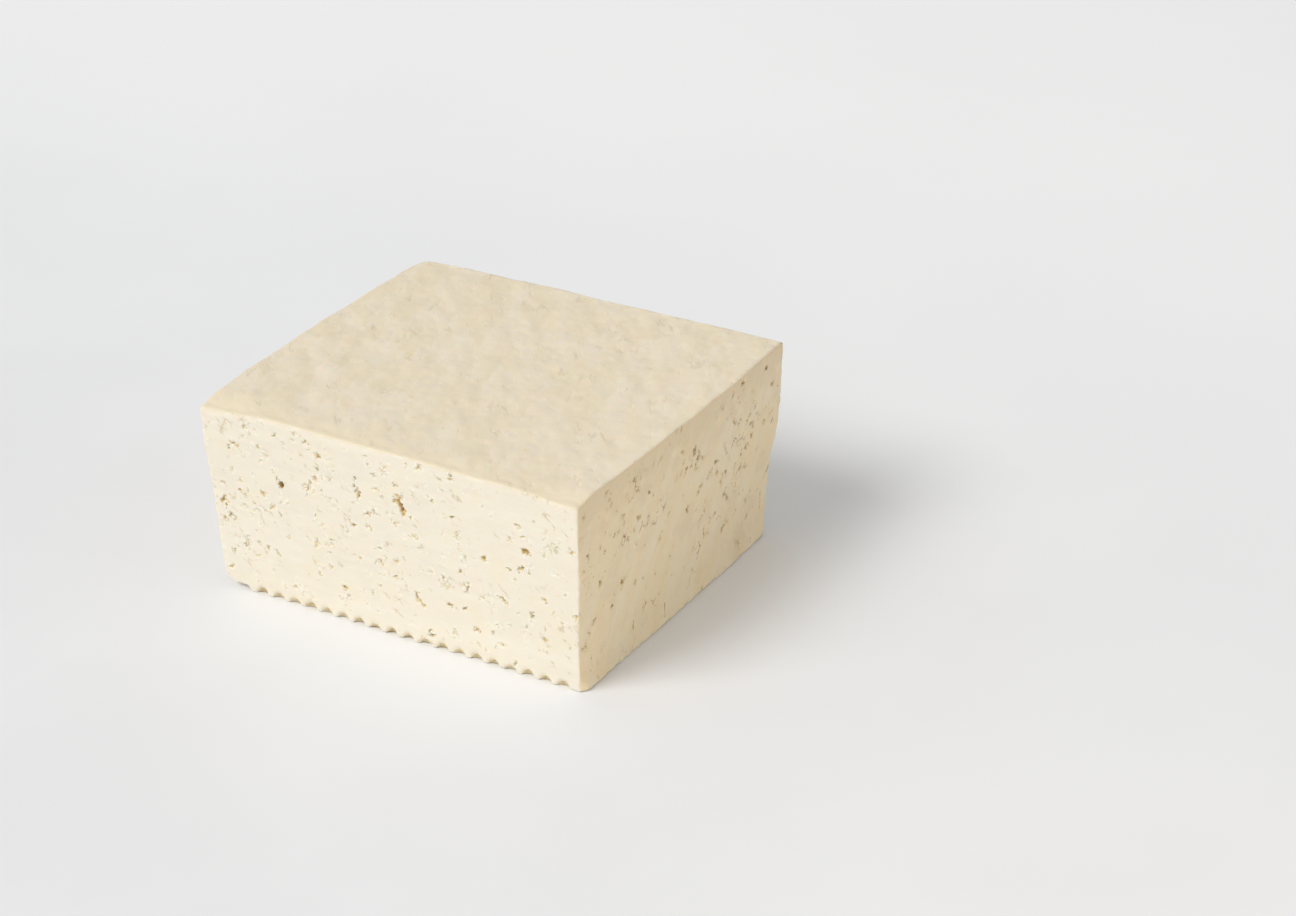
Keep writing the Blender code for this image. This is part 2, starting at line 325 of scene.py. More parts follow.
    def settle(self, bar: Array) -> Array:
        """Move points of the straight bar to where they are in the pressed block.

        Args:
            bar: Points of the bar, one row each.

        Returns:
            The settled points.
        """
        x, y, z = bar.T
        share = (y - self.front) / self.depth
        middle = 1.0 - (2.0 * share - 1.0) ** 2
        across = self.across_share(x)
        lift = (z / self.height) ** 2
        left_side = smooth_ramp(-across, self.corner_start, 1.0)
        right_side = smooth_ramp(across, self.side_start, self.side_end)
        back_side = smooth_ramp(share, self.back_start, 1.0)
        flare = self.foot_flare * smooth_ramp(-z, -self.flare_height, 0.0)
        flare = flare * smooth_ramp(share, 0.0, self.flare_end)
        new_x = x + self.side_bulge * middle * across * lift
        new_x += self.waver * lift * left_side * self.wavering(y, z)
        new_x += right_side * (flare - self.corner_tuck * back_side)
        new_y = self.front + share * (self.back_wall(x, z) - self.front)
        new_y += self.waver * lift * back_side * self.wavering(x, z)
        crown = self.crown * (1.0 - across * across)
        drop = self.corner_drop * (1.0 - self.corner_drop_left * across)
        drop = drop * (1.0 - self.corner_drop_front * (2.0 * share - 1.0))
        drop = drop * smooth_ramp(np.abs(2.0 * share - 1.0), self.corner_drop_start, 1.0)
        crown = crown - drop * smooth_ramp(np.abs(across), self.corner_start, 1.0)
        new_z = z + lift * (crown + self.waver * self.wavering(x, y))
        return np.column_stack((new_x, new_y, new_z))

    def wavering(self, along: Array, across: Array) -> Array:
        """Return a face's slow unevenness, from -1 to 1, at places along and across it."""
        turn = 2.0 * math.pi / self.waver_length
        broad = np.sin(turn * (along + 0.3 * across)) * np.cos(0.8 * turn * across)
        return 0.6 * broad + 0.4 * np.sin(1.7 * turn * across - 0.9 * turn * along + 1.0)


# ---- tears
class TearKind(Enum):
    """The shapes that curd holes take where a knife opens them."""

    SCOOP = "scoop"
    SLIT = "slit"
    FORK = "fork"
    CHIP = "chip"


SCOOP, SLIT, FORK, CHIP = TearKind


@dataclass(frozen=True)
class Scoop:
    """One round scoop out of a cut face. Sizes are in millimetres."""

    along: float
    up: float
    radius: float
    depth: float


@dataclass(frozen=True)
class Tear:
    """One torn hole of a cut face. Sizes are in millimetres.

    ``along`` and ``up`` place it, from the face's left foot; ``turn`` is the angle of its
    first arm, in degrees from level.
    """

    kind: TearKind
    along: float
    up: float
    length: float
    width: float
    depth: float
    turn: float = 0.0
    rusty: bool = False
    smallest = 0.1
    gap_chance = 0.12

    def scoops(self, rng: np.random.Generator) -> list[Scoop]:
        """Lay the tear out as overlapping round scoops.

        Args:
            rng: The face's random draw.

        Returns:
            The scoops.
        """
        if self.kind is SCOOP:
            rows = self.cluster(rng, 6, 0.6, 1.0)
            rows += self.arms(rng, (rng.uniform(0.0, 360.0), rng.uniform(0.0, 360.0)), 0.9, 0.3)
        elif self.kind is CHIP:
            rows = self.cluster(rng, 12, 0.95, 0.5)
            rows += self.arms(rng, (0.0, 100.0, 200.0), 0.55, 0.28)
        elif self.kind is SLIT:
            rows = self.arms(rng, (0.0, 180.0), 0.5, 0.62)
            rows += self.surround(rng, rows)
        else:
            rows = self.arms(rng, (0.0, 115.0, 235.0), 0.62, 0.6)
            rows += self.surround(rng, rows)
        return rows

    def arms(
        self, rng: np.random.Generator, turns: Sequence[float], share: float, girth: float
    ) -> list[Scoop]:
        """Return the scoops of one arm for each turn from the tear's own heading."""
        return [row for turn in turns for row in self.arm(rng, self.turn + turn, share, girth)]

    def cluster(
        self, rng: np.random.Generator, count: int, spread: float, depth_share: float
    ) -> list[Scoop]:
        """Heap scoops round the tear's middle.

        Args:
            rng: The face's random draw.
            count: How many scoops.
            spread: How far they stray, as a share of the half sizes.
            depth_share: Their depth as a share of the tear's.

        Returns:
            The scoops.
        """
        rows = []
        lay = math.radians(self.turn)
        for _ in range(count):
            reach, rise = rng.uniform(-spread, spread, 2)
            du, dv = reach * self.length / 2.0, rise * self.width / 2.0
            u = self.along + du * math.cos(lay) - dv * math.sin(lay)
            v = self.up + du * math.sin(lay) + dv * math.cos(lay)
            radius = self.width / 2.0 * rng.uniform(1.15 - spread, 1.25 - 0.7 * spread)
            rows.append(Scoop(u, v, radius, self.depth * depth_share * rng.uniform(0.6, 1.0)))
        return rows

    def arm(
        self, rng: np.random.Generator, turn: float, share: float, girth: float
    ) -> list[Scoop]:
        """Lay scoops along a crooked, tapering arm.

        Args:
            rng: The face's random draw.
            turn: The arm's first heading, in degrees from level.
            share: The arm's length as a share of the tear's.
            girth: The arm's width as a share of the tear's.

        Returns:
            The scoops.
        """
        rows = []
        reach = self.length * share * rng.uniform(0.75, 1.2)
        heading = math.radians(turn + rng.uniform(-14.0, 14.0))
        u, v, gone = self.along, self.up, 0.0
        while gone < reach:
            taper = 1.0 - 0.8 * gone / reach
            radius = max(self.width / 2.0 * girth * taper * rng.uniform(0.6, 1.35), self.smallest)
            if rng.random() > self.gap_chance:
                rows.append(Scoop(u, v, radius, self.depth * (0.3 + 0.7 * taper)))
            step = radius * 0.7
            heading += rng.normal(0.0, 0.42)
            u += step * math.cos(heading)
            v += step * math.sin(heading)
            gone += step
        return rows

    def surround(self, rng: np.random.Generator, rows: Sequence[Scoop]) -> list[Scoop]:
        """Lay wide, shallow scoops where curd has flaked off beside a crack.

        Args:
            rng: The face's random draw.
            rows: The crack's own scoops.

        Returns:
            One wide scoop for every other one of the crack's.
        """
        return [
            Scoop(
                row.along + rng.normal(0.5, 0.5) * row.radius,
                row.up + rng.normal(-0.5, 0.5) * row.radius,
                row.radius * rng.uniform(1.5, 2.4) + self.smallest,
                row.depth * rng.uniform(0.16, 0.36),
            )
            for row in rows[::2]
        ]


@dataclass(frozen=True)
class TearScatter:
    """Tears strewn over a cut face, crowded in some places and absent in others.

    Sizes are in millimetres. ``mix`` holds the kinds to draw from, each as often as it is
    usual; ``depth_share`` is the range of depths as shares of the width; ``lean`` crowds more
    of them toward the face's left end.
    """

    count: int
    length: tuple[float, float]
    mix: tuple[TearKind, ...]
    turn: float
    turn_spread: float
    depth_share: tuple[float, float]
    seed: int
    margin: float = 1.2
    foot_margin: float = 2.2
    crowd_length: float = 17.0
    crowd_range: tuple[float, float] = (-0.9, 1.1)
    slit_width: tuple[float, float] = (0.15, 0.28)
    patch_width: tuple[float, float] = (0.35, 0.6)
    lean: float = 0.0

    def torn(self, rng: np.random.Generator, along: float, up: float) -> Tear:
        """Draw one tear.

        Args:
            rng: The random draw.
            along: Its place along the face, in millimetres.
            up: Its height, in millimetres.

        Returns:
            The tear.
        """
        kind = self.mix[rng.integers(len(self.mix))]
        length = rng.uniform(*self.length) * rng.uniform(0.5, 1.0)
        slim = kind in (SLIT, FORK)
        across = length * rng.uniform(*(self.slit_width if slim else self.patch_width))
        depth = across * rng.uniform(*self.depth_share)
        turn = self.turn + rng.normal(0.0, self.turn_spread)
        return Tear(kind, along, up, length, across, depth, turn)

    def placed(self, spots: Sequence[tuple[float, float]]) -> list[Tear]:
        """Draw a tear for each place along and up the face and return them."""
        rng = np.random.default_rng(self.seed + 2)
        return [self.torn(rng, along, up) for along, up in spots]

    def strewn(self, width: float, height: float) -> list[Tear]:
        """Strew the tears.

        Args:
            width: The face's length, in millimetres.
            height: The face's height, in millimetres.

        Returns:
            The tears.
        """
        rng = np.random.default_rng(self.seed)
        crowd = RippleField(self.seed + 1, self.crowd_length)
        tears: list[Tear] = []
        while len(tears) < self.count:
            along = rng.uniform(self.margin, width - self.margin)
            up = rng.uniform(self.foot_margin, height - self.margin)
            crowding = float(crowd.at(np.array([along]), np.array([up]))[0])
            crowding += self.lean * (1.0 - 2.0 * along / width)
            if rng.uniform(*self.crowd_range) < crowding:
                tears.append(self.torn(rng, along, up))
        return tears


class TearField:
    """All the tears of one cut face."""

    rim_waves = ((1.1 * MM, 0.2 * MM), (0.5 * MM, 0.09 * MM))  # lengths and heights

    def __init__(self, tears: Sequence[Tear], seed: int) -> None:
        """Lay out every tear's scoops and draw the unevenness of their rims.

        Args:
            tears: The tears.
            seed: Seed of the face's draw.
        """
        rng = np.random.default_rng(seed)
        self.scoops = [row for tear in tears for row in tear.scoops(rng)]
        self.rusty = [tear for tear in tears if tear.rusty]
        self.rims = [
            (RippleField(seed + 2 * row + 1, wave), RippleField(seed + 2 * row + 2, wave), size)
            for row, (wave, size) in enumerate(self.rim_waves)
        ]

    def rust(self, along: Array, up: Array) -> Array:
        """Tell how rusty the curd is beside the rusty tears.

        Args:
            along: Places along the face, from its left foot.
            up: Heights above the table.

        Returns:
            The shares of rust, from 0 to 1.
        """
        rust = np.zeros(len(along))
        for tear in self.rusty:
            distance = np.hypot(along - tear.along * MM, up - tear.up * MM)
            rust = np.maximum(rust, np.exp(-((distance / (tear.length * MM)) ** 2)))
        return rust

    def sample(self, along: Array, up: Array, reach: float) -> tuple[Array, Array]:
        """Read the tears at places on the face.

        Args:
            along: Places along the face, from its left foot.
            up: Heights above the table.
            reach: How far from a rim its distance is still told.

        Returns:
            The depth at each place, and its distance outside the nearest rim, which is below
            zero inside a tear.
        """
        u, v = along.copy(), up.copy()
        for side, rise, size in self.rims:
            u += size * side.at(along, up)
            v += size * rise.at(along, up)
        order = np.argsort(u)
        u, v = u[order], v[order]
        depth = np.zeros(len(u))
        clear = np.full(len(u), reach)
        for scoop in self.scoops:
            middle, height = scoop.along * MM, scoop.up * MM
            radius, deep = scoop.radius * MM, scoop.depth * MM
            start, stop = np.searchsorted(u, (middle - radius - reach, middle + radius + reach))
            part = slice(start, stop)
            distance = np.hypot(u[part] - middle, v[part] - height)
            clear[part] = np.minimum(clear[part], distance - radius)
            bowl = deep * np.sqrt(np.clip(1.0 - (distance / radius) ** 2, 0.0, 1.0))
            depth[part] = np.maximum(depth[part], bowl)
        back = np.argsort(order)
        return depth[back], clear[back]


LONG_CUT_TEARS = (
    Tear(FORK, 13.5, 48.0, 1.6, 0.5, 0.8, 30.0),
    Tear(FORK, 10.0, 42.5, 2.4, 0.7, 0.9, 130.0),
    Tear(CHIP, 12.5, 40.3, 3.0, 0.9, 0.2, -20.0),
    Tear(CHIP, 13.0, 45.2, 2.2, 0.8, 0.2, 35.0),
    Tear(SLIT, 32.5, 48.0, 1.9, 0.4, 0.8, -55.0),
    Tear(CHIP, 35.3, 45.2, 2.6, 0.8, 0.35, -15.0, rusty=True),
    Tear(SCOOP, 36.1, 44.3, 0.8, 0.6, 0.8),
    Tear(SCOOP, 35.4, 41.1, 1.1, 0.6, 0.7, -30.0),
    Tear(FORK, 34.5, 38.6, 2.4, 0.8, 0.7, 20.0, rusty=True),
    Tear(CHIP, 32.0, 34.8, 4.0, 1.7, 0.5, -5.0),
    Tear(SCOOP, 23.7, 33.7, 1.9, 1.6, 2.2),
    Tear(SLIT, 5.3, 30.2, 2.2, 0.5, 0.6, -12.0),
    Tear(SLIT, 10.5, 29.0, 1.6, 0.6, 0.9, -75.0),
    Tear(CHIP, 11.8, 28.0, 1.6, 1.2, 0.35, -40.0),
    Tear(FORK, 4.7, 25.0, 4.4, 0.8, 0.9, 75.0),
    Tear(CHIP, 7.0, 20.8, 3.2, 1.2, 0.8, -25.0),
    Tear(FORK, 8.2, 15.2, 1.4, 0.5, 0.8, 10.0),
    Tear(CHIP, 11.8, 13.6, 2.2, 1.2, 0.5),
    Tear(CHIP, 15.3, 15.2, 1.7, 0.9, 0.5),
    Tear(SCOOP, 18.3, 14.4, 1.2, 1.0, 0.8, -45.0),
    Tear(CHIP, 14.1, 11.3, 2.2, 1.3, 0.25, -20.0),
    Tear(SCOOP, 46.9, 41.6, 0.7, 0.7, 0.7),
    Tear(SLIT, 47.5, 37.0, 4.4, 0.7, 1.0, -68.0),
    Tear(CHIP, 55.2, 45.8, 1.9, 1.0, 0.4, 15.0),
    Tear(SLIT, 45.0, 28.5, 3.0, 0.8, 0.8, -8.0),
    Tear(CHIP, 59.5, 38.8, 2.9, 2.4, 0.85, 70.0, rusty=True),
    Tear(SCOOP, 60.1, 38.1, 1.4, 1.1, 1.2, -60.0),
    Tear(SLIT, 60.5, 36.6, 3.6, 1.1, 1.6, -62.0, rusty=True),
    Tear(CHIP, 60.9, 36.6, 2.4, 1.3, 0.5, -62.0),
    Tear(SLIT, 62.8, 35.0, 2.4, 0.4, 0.5, 5.0),
    Tear(SLIT, 69.6, 41.1, 2.0, 0.5, 0.8, -6.0),
    Tear(SCOOP, 75.1, 38.6, 1.2, 0.7, 0.8),
    Tear(SLIT, 76.2, 33.4, 4.0, 0.4, 0.6, -76.0),
    Tear(FORK, 83.6, 29.6, 2.2, 0.8, 0.8, 200.0),
    Tear(CHIP, 55.3, 25.5, 1.9, 1.2, 0.4, 50.0),
    Tear(CHIP, 57.7, 21.5, 2.0, 1.6, 0.4, 30.0),
    Tear(SLIT, 57.5, 17.1, 2.8, 0.5, 0.8, -62.0),
    Tear(SCOOP, 76.8, 24.4, 1.0, 0.8, 0.6, 80.0),
    Tear(CHIP, 72.2, 18.7, 2.6, 2.3, 0.35),
    Tear(FORK, 78.2, 19.9, 3.4, 0.7, 0.8, -55.0),
    Tear(SLIT, 64.0, 12.5, 5.0, 1.0, 1.1, -24.0),
    Tear(SCOOP, 73.0, 13.7, 1.0, 0.9, 1.2),
    Tear(SCOOP, 77.3, 13.9, 1.3, 0.8, 0.9, -10.0),
    Tear(FORK, 89.0, 19.8, 3.2, 0.7, 0.8, -60.0),
    Tear(SCOOP, 95.8, 34.8, 2.0, 1.6, 1.0, -50.0),
    Tear(SCOOP, 95.3, 38.7, 0.9, 0.8, 0.6),
    Tear(FORK, 94.4, 30.0, 1.9, 0.8, 0.8, 100.0),
    Tear(SCOOP, 96.9, 29.2, 1.1, 0.7, 0.7, 70.0),
    Tear(SLIT, 41.4, 9.7, 2.4, 0.9, 0.9, -20.0),
    Tear(CHIP, 37.7, 14.6, 1.8, 1.3, 0.4, -40.0),
    Tear(CHIP, 100.5, 11.8, 2.2, 1.5, 0.45),
    Tear(CHIP, 109.0, 38.9, 2.2, 1.4, 0.5, 60.0, rusty=True),
    Tear(CHIP, 109.9, 21.2, 2.4, 1.6, 0.6, 50.0),
    Tear(SCOOP, 60.3, 37.5, 1.4, 1.0, 1.3, -62.0),
)

END_CUT_TEARS = (
    Tear(SLIT, 2.8, 48.0, 4.2, 0.4, 0.5, -38.0),
    Tear(CHIP, 25.9, 43.3, 1.8, 1.2, 0.5, 20.0),
    Tear(SCOOP, 31.4, 40.2, 0.8, 0.7, 0.7),
    Tear(FORK, 26.8, 35.8, 3.2, 0.6, 0.8, 95.0),
    Tear(SCOOP, 54.6, 38.8, 1.3, 0.9, 1.1, 70.0),
    Tear(SLIT, 53.6, 37.6, 2.6, 0.5, 0.8, 50.0),
    Tear(SCOOP, 54.7, 40.7, 0.8, 0.6, 0.7),
    Tear(SLIT, 46.5, 44.0, 2.4, 0.4, 0.5, -50.0),
    Tear(SLIT, 56.0, 29.8, 6.0, 0.4, 0.5, 66.0),
    Tear(SLIT, 65.2, 30.0, 2.0, 0.8, 1.0, -35.0),
    Tear(SLIT, 67.3, 26.2, 3.4, 0.6, 0.8, -60.0),
    Tear(SLIT, 71.5, 22.0, 3.6, 0.8, 0.9, -45.0),
    Tear(SCOOP, 73.8, 19.8, 1.4, 0.9, 0.8),
    Tear(SLIT, 80.6, 38.3, 3.8, 0.5, 0.6, 20.0),
    Tear(SLIT, 82.9, 35.6, 4.0, 0.5, 0.7, -80.0),
    Tear(SCOOP, 82.6, 32.5, 1.3, 1.0, 0.8, rusty=True),
    Tear(SLIT, 75.6, 39.4, 4.4, 0.4, 0.6, 66.0),
    Tear(SLIT, 72.6, 40.4, 3.6, 0.4, 0.5, 64.0),
    Tear(SCOOP, 75.7, 49.6, 1.4, 1.1, 1.2),
    Tear(SCOOP, 88.9, 47.8, 1.3, 1.0, 1.2),
    Tear(SLIT, 93.0, 42.0, 2.8, 0.9, 0.7, 52.0),
    Tear(SLIT, 50.9, 26.6, 3.2, 0.6, 0.8, -72.0),
    Tear(SLIT, 41.1, 30.1, 3.0, 0.4, 0.5, 70.0),
    Tear(FORK, 37.7, 24.7, 1.8, 0.5, 0.6, 60.0),
    Tear(FORK, 20.6, 21.0, 2.8, 0.8, 0.9, 150.0),
    Tear(SCOOP, 26.8, 17.9, 1.0, 0.9, 0.8),
    Tear(SCOOP, 61.6, 21.9, 1.2, 0.9, 0.7, 40.0),
    Tear(SLIT, 7.0, 16.6, 2.4, 0.6, 0.8, 62.0),
    Tear(SCOOP, 4.8, 14.5, 1.0, 0.7, 0.7),
)

LONG_CUT_NICKS = (
    (17.2, 47.4), (28.4, 47.4), (33.1, 45.7), (44.2, 49.0), (19.7, 41.2), (18.0, 38.9),
    (10.5, 24.6), (20.5, 26.9), (46.7, 39.2), (53.1, 40.4), (51.9, 35.4), (52.4, 33.7),
    (35.5, 25.8), (33.7, 26.0), (7.0, 10.8), (21.3, 13.8), (33.4, 20.1), (37.9, 21.1),
    (34.6, 13.2), (33.8, 11.3), (52.9, 20.2), (46.7, 19.5), (57.0, 32.6), (70.6, 48.8),
    (72.6, 46.5), (58.1, 32.3), (84.2, 44.2), (86.6, 42.1), (64.0, 29.7), (66.2, 26.3),
    (77.2, 27.3), (85.0, 20.0), (82.1, 18.5), (86.2, 17.0), (94.3, 41.4), (91.5, 37.1),
    (101.7, 40.3), (101.3, 35.9), (104.8, 31.4), (106.7, 26.3), (100.8, 23.1), (103.3, 20.4),
    (105.8, 18.4), (97.2, 17.9), (80.8, 8.8), (87.3, 11.3), (100.2, 8.9), (82.9, 4.0),
)
END_CUT_NICKS = (
    (86.3, 43.1), (91.9, 33.3), (68.6, 35.3), (78.2, 27.4), (67.6, 18.3), (65.2, 17.6),
    (16.3, 42.2), (21.8, 32.0), (24.3, 32.9), (26.4, 28.2), (30.9, 17.3), (4.2, 27.5),
    (9.6, 25.9), (2.5, 11.7), (8.3, 4.3), (46.6, 10.9), (64.2, 14.3),
)
MIXED_TEARS = (SLIT, FORK, FORK, CHIP, SLIT)
FINE_TEARS = (SLIT, FORK, SLIT, CHIP, SCOOP)
LONG_CUT_SMALL = TearScatter(
    34, (1.6, 3.6), MIXED_TEARS, -40.0, 45.0, (0.5, 1.1), Seed.LONG_CUT_SMALL,
    crowd_range=(-0.5, 1.2), lean=0.5,
)
LONG_CUT_FINE = TearScatter(
    185, (0.8, 1.8), FINE_TEARS, -38.0, 45.0, (0.6, 1.3), Seed.LONG_CUT_FINE,
    crowd_range=(-0.4, 1.2), lean=0.4,
)
END_CUT_SMALL = TearScatter(
    18, (1.5, 3.4), MIXED_TEARS, 62.0, 38.0, (0.7, 1.2), Seed.END_CUT_SMALL,
    crowd_range=(-0.2, 1.0),
)
END_CUT_FINE = TearScatter(
    105, (0.6, 1.7), FINE_TEARS, 62.0, 42.0, (0.6, 1.3), Seed.END_CUT_FINE,
    crowd_range=(-0.2, 1.0),
)


# ---- bar edges, faces
class Face(Enum):
    """The six faces of the bar: a number, the axis across it and which way along it is in."""

    LONG_CUT = (0, 1, 1.0)
    END_CUT = (1, 0, -1.0)
    SKIN = (2, 2, -1.0)
    LEFT_WALL = (3, 0, 1.0)
    BACK_WALL = (4, 1, -1.0)
    UNDERSIDE = (5, 2, 1.0)

    def __init__(self, number: int, axis: int, inward: float) -> None:
        """Name the parts of the face's value."""
        self.number, self.axis, self.inward = number, axis, inward

    @property
    def plane(self) -> list[int]:
        """The two axes along the face."""
        return [axis for axis in range(3) if axis != self.axis]


class BarEdges:
    """The twelve edges of the bar, each a line of points that its two faces share."""

    fine = 0.36 * MM    # spacing along the edges of the long cut and the skin's right edge
    middle = 0.6 * MM   # spacing along the other edges of the end cut and the underside
    coarse = 1.1 * MM   # spacing along the other edges of the mould walls

    def __init__(self, form: BlockForm) -> None:
        """Lay out the edges of a form's bar."""
        self.form = form
        front, back = form.front, form.back
        fine, middle, coarse = self.fine, self.middle, self.coarse
        self.front_left = self.wall_line(front, fine)
        self.back_left = self.wall_line(back, coarse)
        self.front_right = self.cut_line(front, fine)
        self.back_right = self.cut_line(back, middle)
        left_foot, right_foot = self.front_left[0], self.front_right[0]
        left_top, right_top = self.front_left[-1], self.front_right[-1]
        self.front_bottom = self.rib_line(front, left_foot, right_foot, fine)
        self.back_bottom = self.rib_line(back, left_foot, right_foot, middle)
        self.front_top = self.straight(left_top, right_top, fine)
        self.back_top = self.moved(self.straight(left_top, right_top, coarse), back)
        self.bottom_left = self.run(left_foot, coarse)
        self.bottom_right = self.run(right_foot, middle)
        self.top_left = self.run(left_top, coarse)
        self.top_right = self.run(right_top, fine)

    @staticmethod
    def straight(start: Array, end: Array, spacing: float) -> Array:
        """Lay a straight line.

        Args:
            start: Its first point.
            end: Its last point.
            spacing: How far apart its points are, about.

        Returns:
            The points.
        """
        count = max(int(round(float(np.linalg.norm(end - start)) / spacing)), 1)
        shares = np.linspace(0.0, 1.0, count + 1)[:, None]
        line = start + (end - start) * shares
        line[-1] = end
        return line

    @staticmethod
    def moved(line: Array, y: float) -> Array:
        """Return a line's points at another Y."""
        return np.column_stack((line[:, 0], np.full(len(line), y), line[:, 2]))

    def run(self, start: Array, spacing: float) -> Array:
        """Return the edge that starts at a front corner and ends at the back."""
        return self.straight(start, self.moved(start[None], self.form.back)[0], spacing)

    def wall_line(self, y: float, spacing: float) -> Array:
        """Return the left wall's outline from its foot to the skin, evenly spaced."""
        z = WallArc(self.form, self.form.shelf_height).heights(spacing)
        return np.column_stack((self.form.left_wall(z), np.full_like(z, y), z))

    def cut_line(self, y: float, spacing: float) -> Array:
        """Return the end cut's outline from the underside to the skin."""
        z = np.linspace(0.0, self.form.height, round(self.form.height / spacing) + 1)
        return np.column_stack((self.form.right_wall(z), np.full_like(z, y), z))

    def rib_line(self, y: float, left_foot: Array, right_foot: Array, spacing: float) -> Array:
        """Lay the ribbed underside's outline.

        Args:
            y: Where it runs.
            left_foot: The left wall's foot.
            right_foot: The end cut's foot.
            spacing: How far apart its points are, about.

        Returns:
            The points from the left foot to the end cut.
        """
        count = round((right_foot[0] - left_foot[0]) / spacing)
        x = np.linspace(left_foot[0], right_foot[0], count + 1)
        line = np.column_stack((x, np.full_like(x, y), np.zeros_like(x)))
        line[:, 2] = self.form.underside(x, line[:, 1])
        line[0], line[-1] = self.moved(left_foot[None], y)[0], self.moved(right_foot[None], y)[0]
        return line


class WallArc:
    """The length of the way up a mould wall, round its foot and its upper edge."""

    steps = 1200

    def __init__(self, form: BlockForm, foot: float) -> None:
        """Measure the way up.

        Args:
            form: The block's form.
            foot: The height at which the wall's round foot starts.
        """
        swing = np.linspace(0.0, math.pi, self.steps)
        self.z = foot + (form.height - foot) * (0.5 - 0.5 * np.cos(swing))
        inset = round_inset(self.z - foot, form.foot_radius)
        inset = inset + round_inset(form.height - self.z, form.skin_edge_radius)
        climb = np.hypot(np.diff(self.z), np.diff(inset))
        self.way = np.concatenate(([0.0], np.cumsum(climb)))

    def way_at(self, z: Array) -> Array:
        """Return the way up to each height."""
        return np.interp(z, self.z, self.way)

    def height_at(self, way: Array) -> Array:
        """Return the height at each way up."""
        return np.interp(way, self.way, self.z)

    def heights(self, spacing: float) -> Array:
        """Return heights that are evenly spaced along the way."""
        way = np.linspace(0.0, self.way[-1], round(self.way[-1] / spacing) + 1)
        return self.height_at(way)


@dataclass
class FacePatch:
    """One face of the bar, cut into graded triangles in a plane of its own.

    South, east, north and west are the face's edges as they lie in that plane. A subclass says
    how the plane and the bar belong together and how fine the triangles are.
    """

    form: BlockForm
    south: Array
    east: Array
    north: Array
    west: Array
    base: float
    finest: float
    face = Face.LONG_CUT
    flipped = False
    edge_growth = 0.5  # how fast the triangles grow away from an edge
    stray = 0.18       # how far a point strays from its row, per spacing

    def to_plane(self, bar: Array) -> Array:
        """Return where points of the bar are in the face's plane."""
        return bar[:, self.face.plane]

    def from_plane(self, flat: Array) -> Array:
        """Return where points of the face's plane are in the bar."""
        raise NotImplementedError

    def detail(self, flat: Array) -> Array:
        """Return the triangle size that the face's relief asks for."""
        return np.full(len(flat), self.base)

    def gap(self, flat: Array) -> Array:
        """Return roughly how far points of the face's plane are inside its edges."""
        u, v = flat.T
        south, east, north, west = (
            self.to_plane(edge) for edge in (self.south, self.east, self.north, self.west)
        )
        return np.minimum.reduce((
            v - np.interp(u, south[:, 0], south[:, 1]),
            np.interp(u, north[:, 0], north[:, 1]) - v,
            u - np.interp(v, west[:, 1], west[:, 0]),
            np.interp(v, east[:, 1], east[:, 0]) - u,
        ))

    def border(self) -> Array:
        """Return the face's outline in the bar, once round."""
        lines = (self.south[:-1], self.east[:-1], self.north[:0:-1], self.west[:0:-1])
        return np.concatenate(lines)

    def inner_points(self, flat_border: Array) -> Array:
        """Strew points inside the face, closer together where the relief is fine.

        Each level halves the spacing of the one before, and keeps the points that are wanted.

        Args:
            flat_border: The face's outline in its plane.

        Returns:
            The points, in the face's plane.
        """
        rng = np.random.default_rng(Seed.FACE_POINTS + self.face.number)
        low, high = flat_border.min(0), flat_border.max(0)
        kept = []
        spacing, level = self.base, 0
        while spacing > self.finest * 0.99:
            columns, rows = (int(count) + 1 for count in (high - low) / spacing)
            column, row = np.meshgrid(np.arange(columns), np.arange(rows), indexing="ij")
            fresh = (column % 2 == 1) | (row % 2 == 1) | (level == 0)
            flat = low + spacing * np.column_stack((column[fresh], row[fresh]))
            flat = flat + rng.uniform(-self.stray, self.stray, flat.shape) * spacing
            gap = self.gap(flat)
            flat, gap = flat[gap > 0.0], gap[gap > 0.0]
            wanted = np.minimum(self.detail(flat), self.finest + self.edge_growth * gap)
            room = gap > 0.55 * np.minimum(wanted, spacing)
            chosen = room & ((level == 0) | (wanted < 1.4 * spacing))
            kept.append(flat[chosen])
            spacing, level = spacing / 2.0, level + 1
        return np.concatenate(kept)

    def triangles(self) -> tuple[Array, Array]:
        """Cut the face into triangles.

        Returns:
            The points in the bar, and the triangles, turned so that they face out.
        """
        border = self.border()
        flat_border = self.to_plane(border)
        inner = self.inner_points(flat_border)
        flat = np.concatenate((flat_border, inner)) / MM
        ring = [(index, (index + 1) % len(border)) for index in range(len(border))]
        spots = [Vector(spot) for spot in flat]
        places, _, faces, sources, _, _ = delaunay_2d_cdt(spots, ring, [], 1, 1e-7)
        bar = self.from_plane(np.array([tuple(place) for place in places]) * MM)
        for index, source in enumerate(sources):
            if source and source[0] < len(border):
                bar[index] = border[source[0]]
        corners = np.array(faces)
        return bar, corners[:, ::-1] if self.flipped else corners


@dataclass
class CutPatch(FacePatch):
    """A knife cut, fine round the rims of its tears."""

    tears: TearField = field(kw_only=True)
    reach = 1.6 * MM

    def places(self, flat: Array) -> tuple[Array, Array]:
        """Return places along the face from its left foot, and heights."""
        foot = self.form.left if self.face is Face.LONG_CUT else self.form.front
        return flat[:, 0] - foot, flat[:, 1]

    def detail(self, flat: Array) -> Array:
        """Return the triangle size that the tears ask for."""
        _, clear = self.tears.sample(*self.places(flat), self.reach)
        return np.clip(0.75 * self.finest + 0.6 * np.abs(clear), self.finest, self.base)


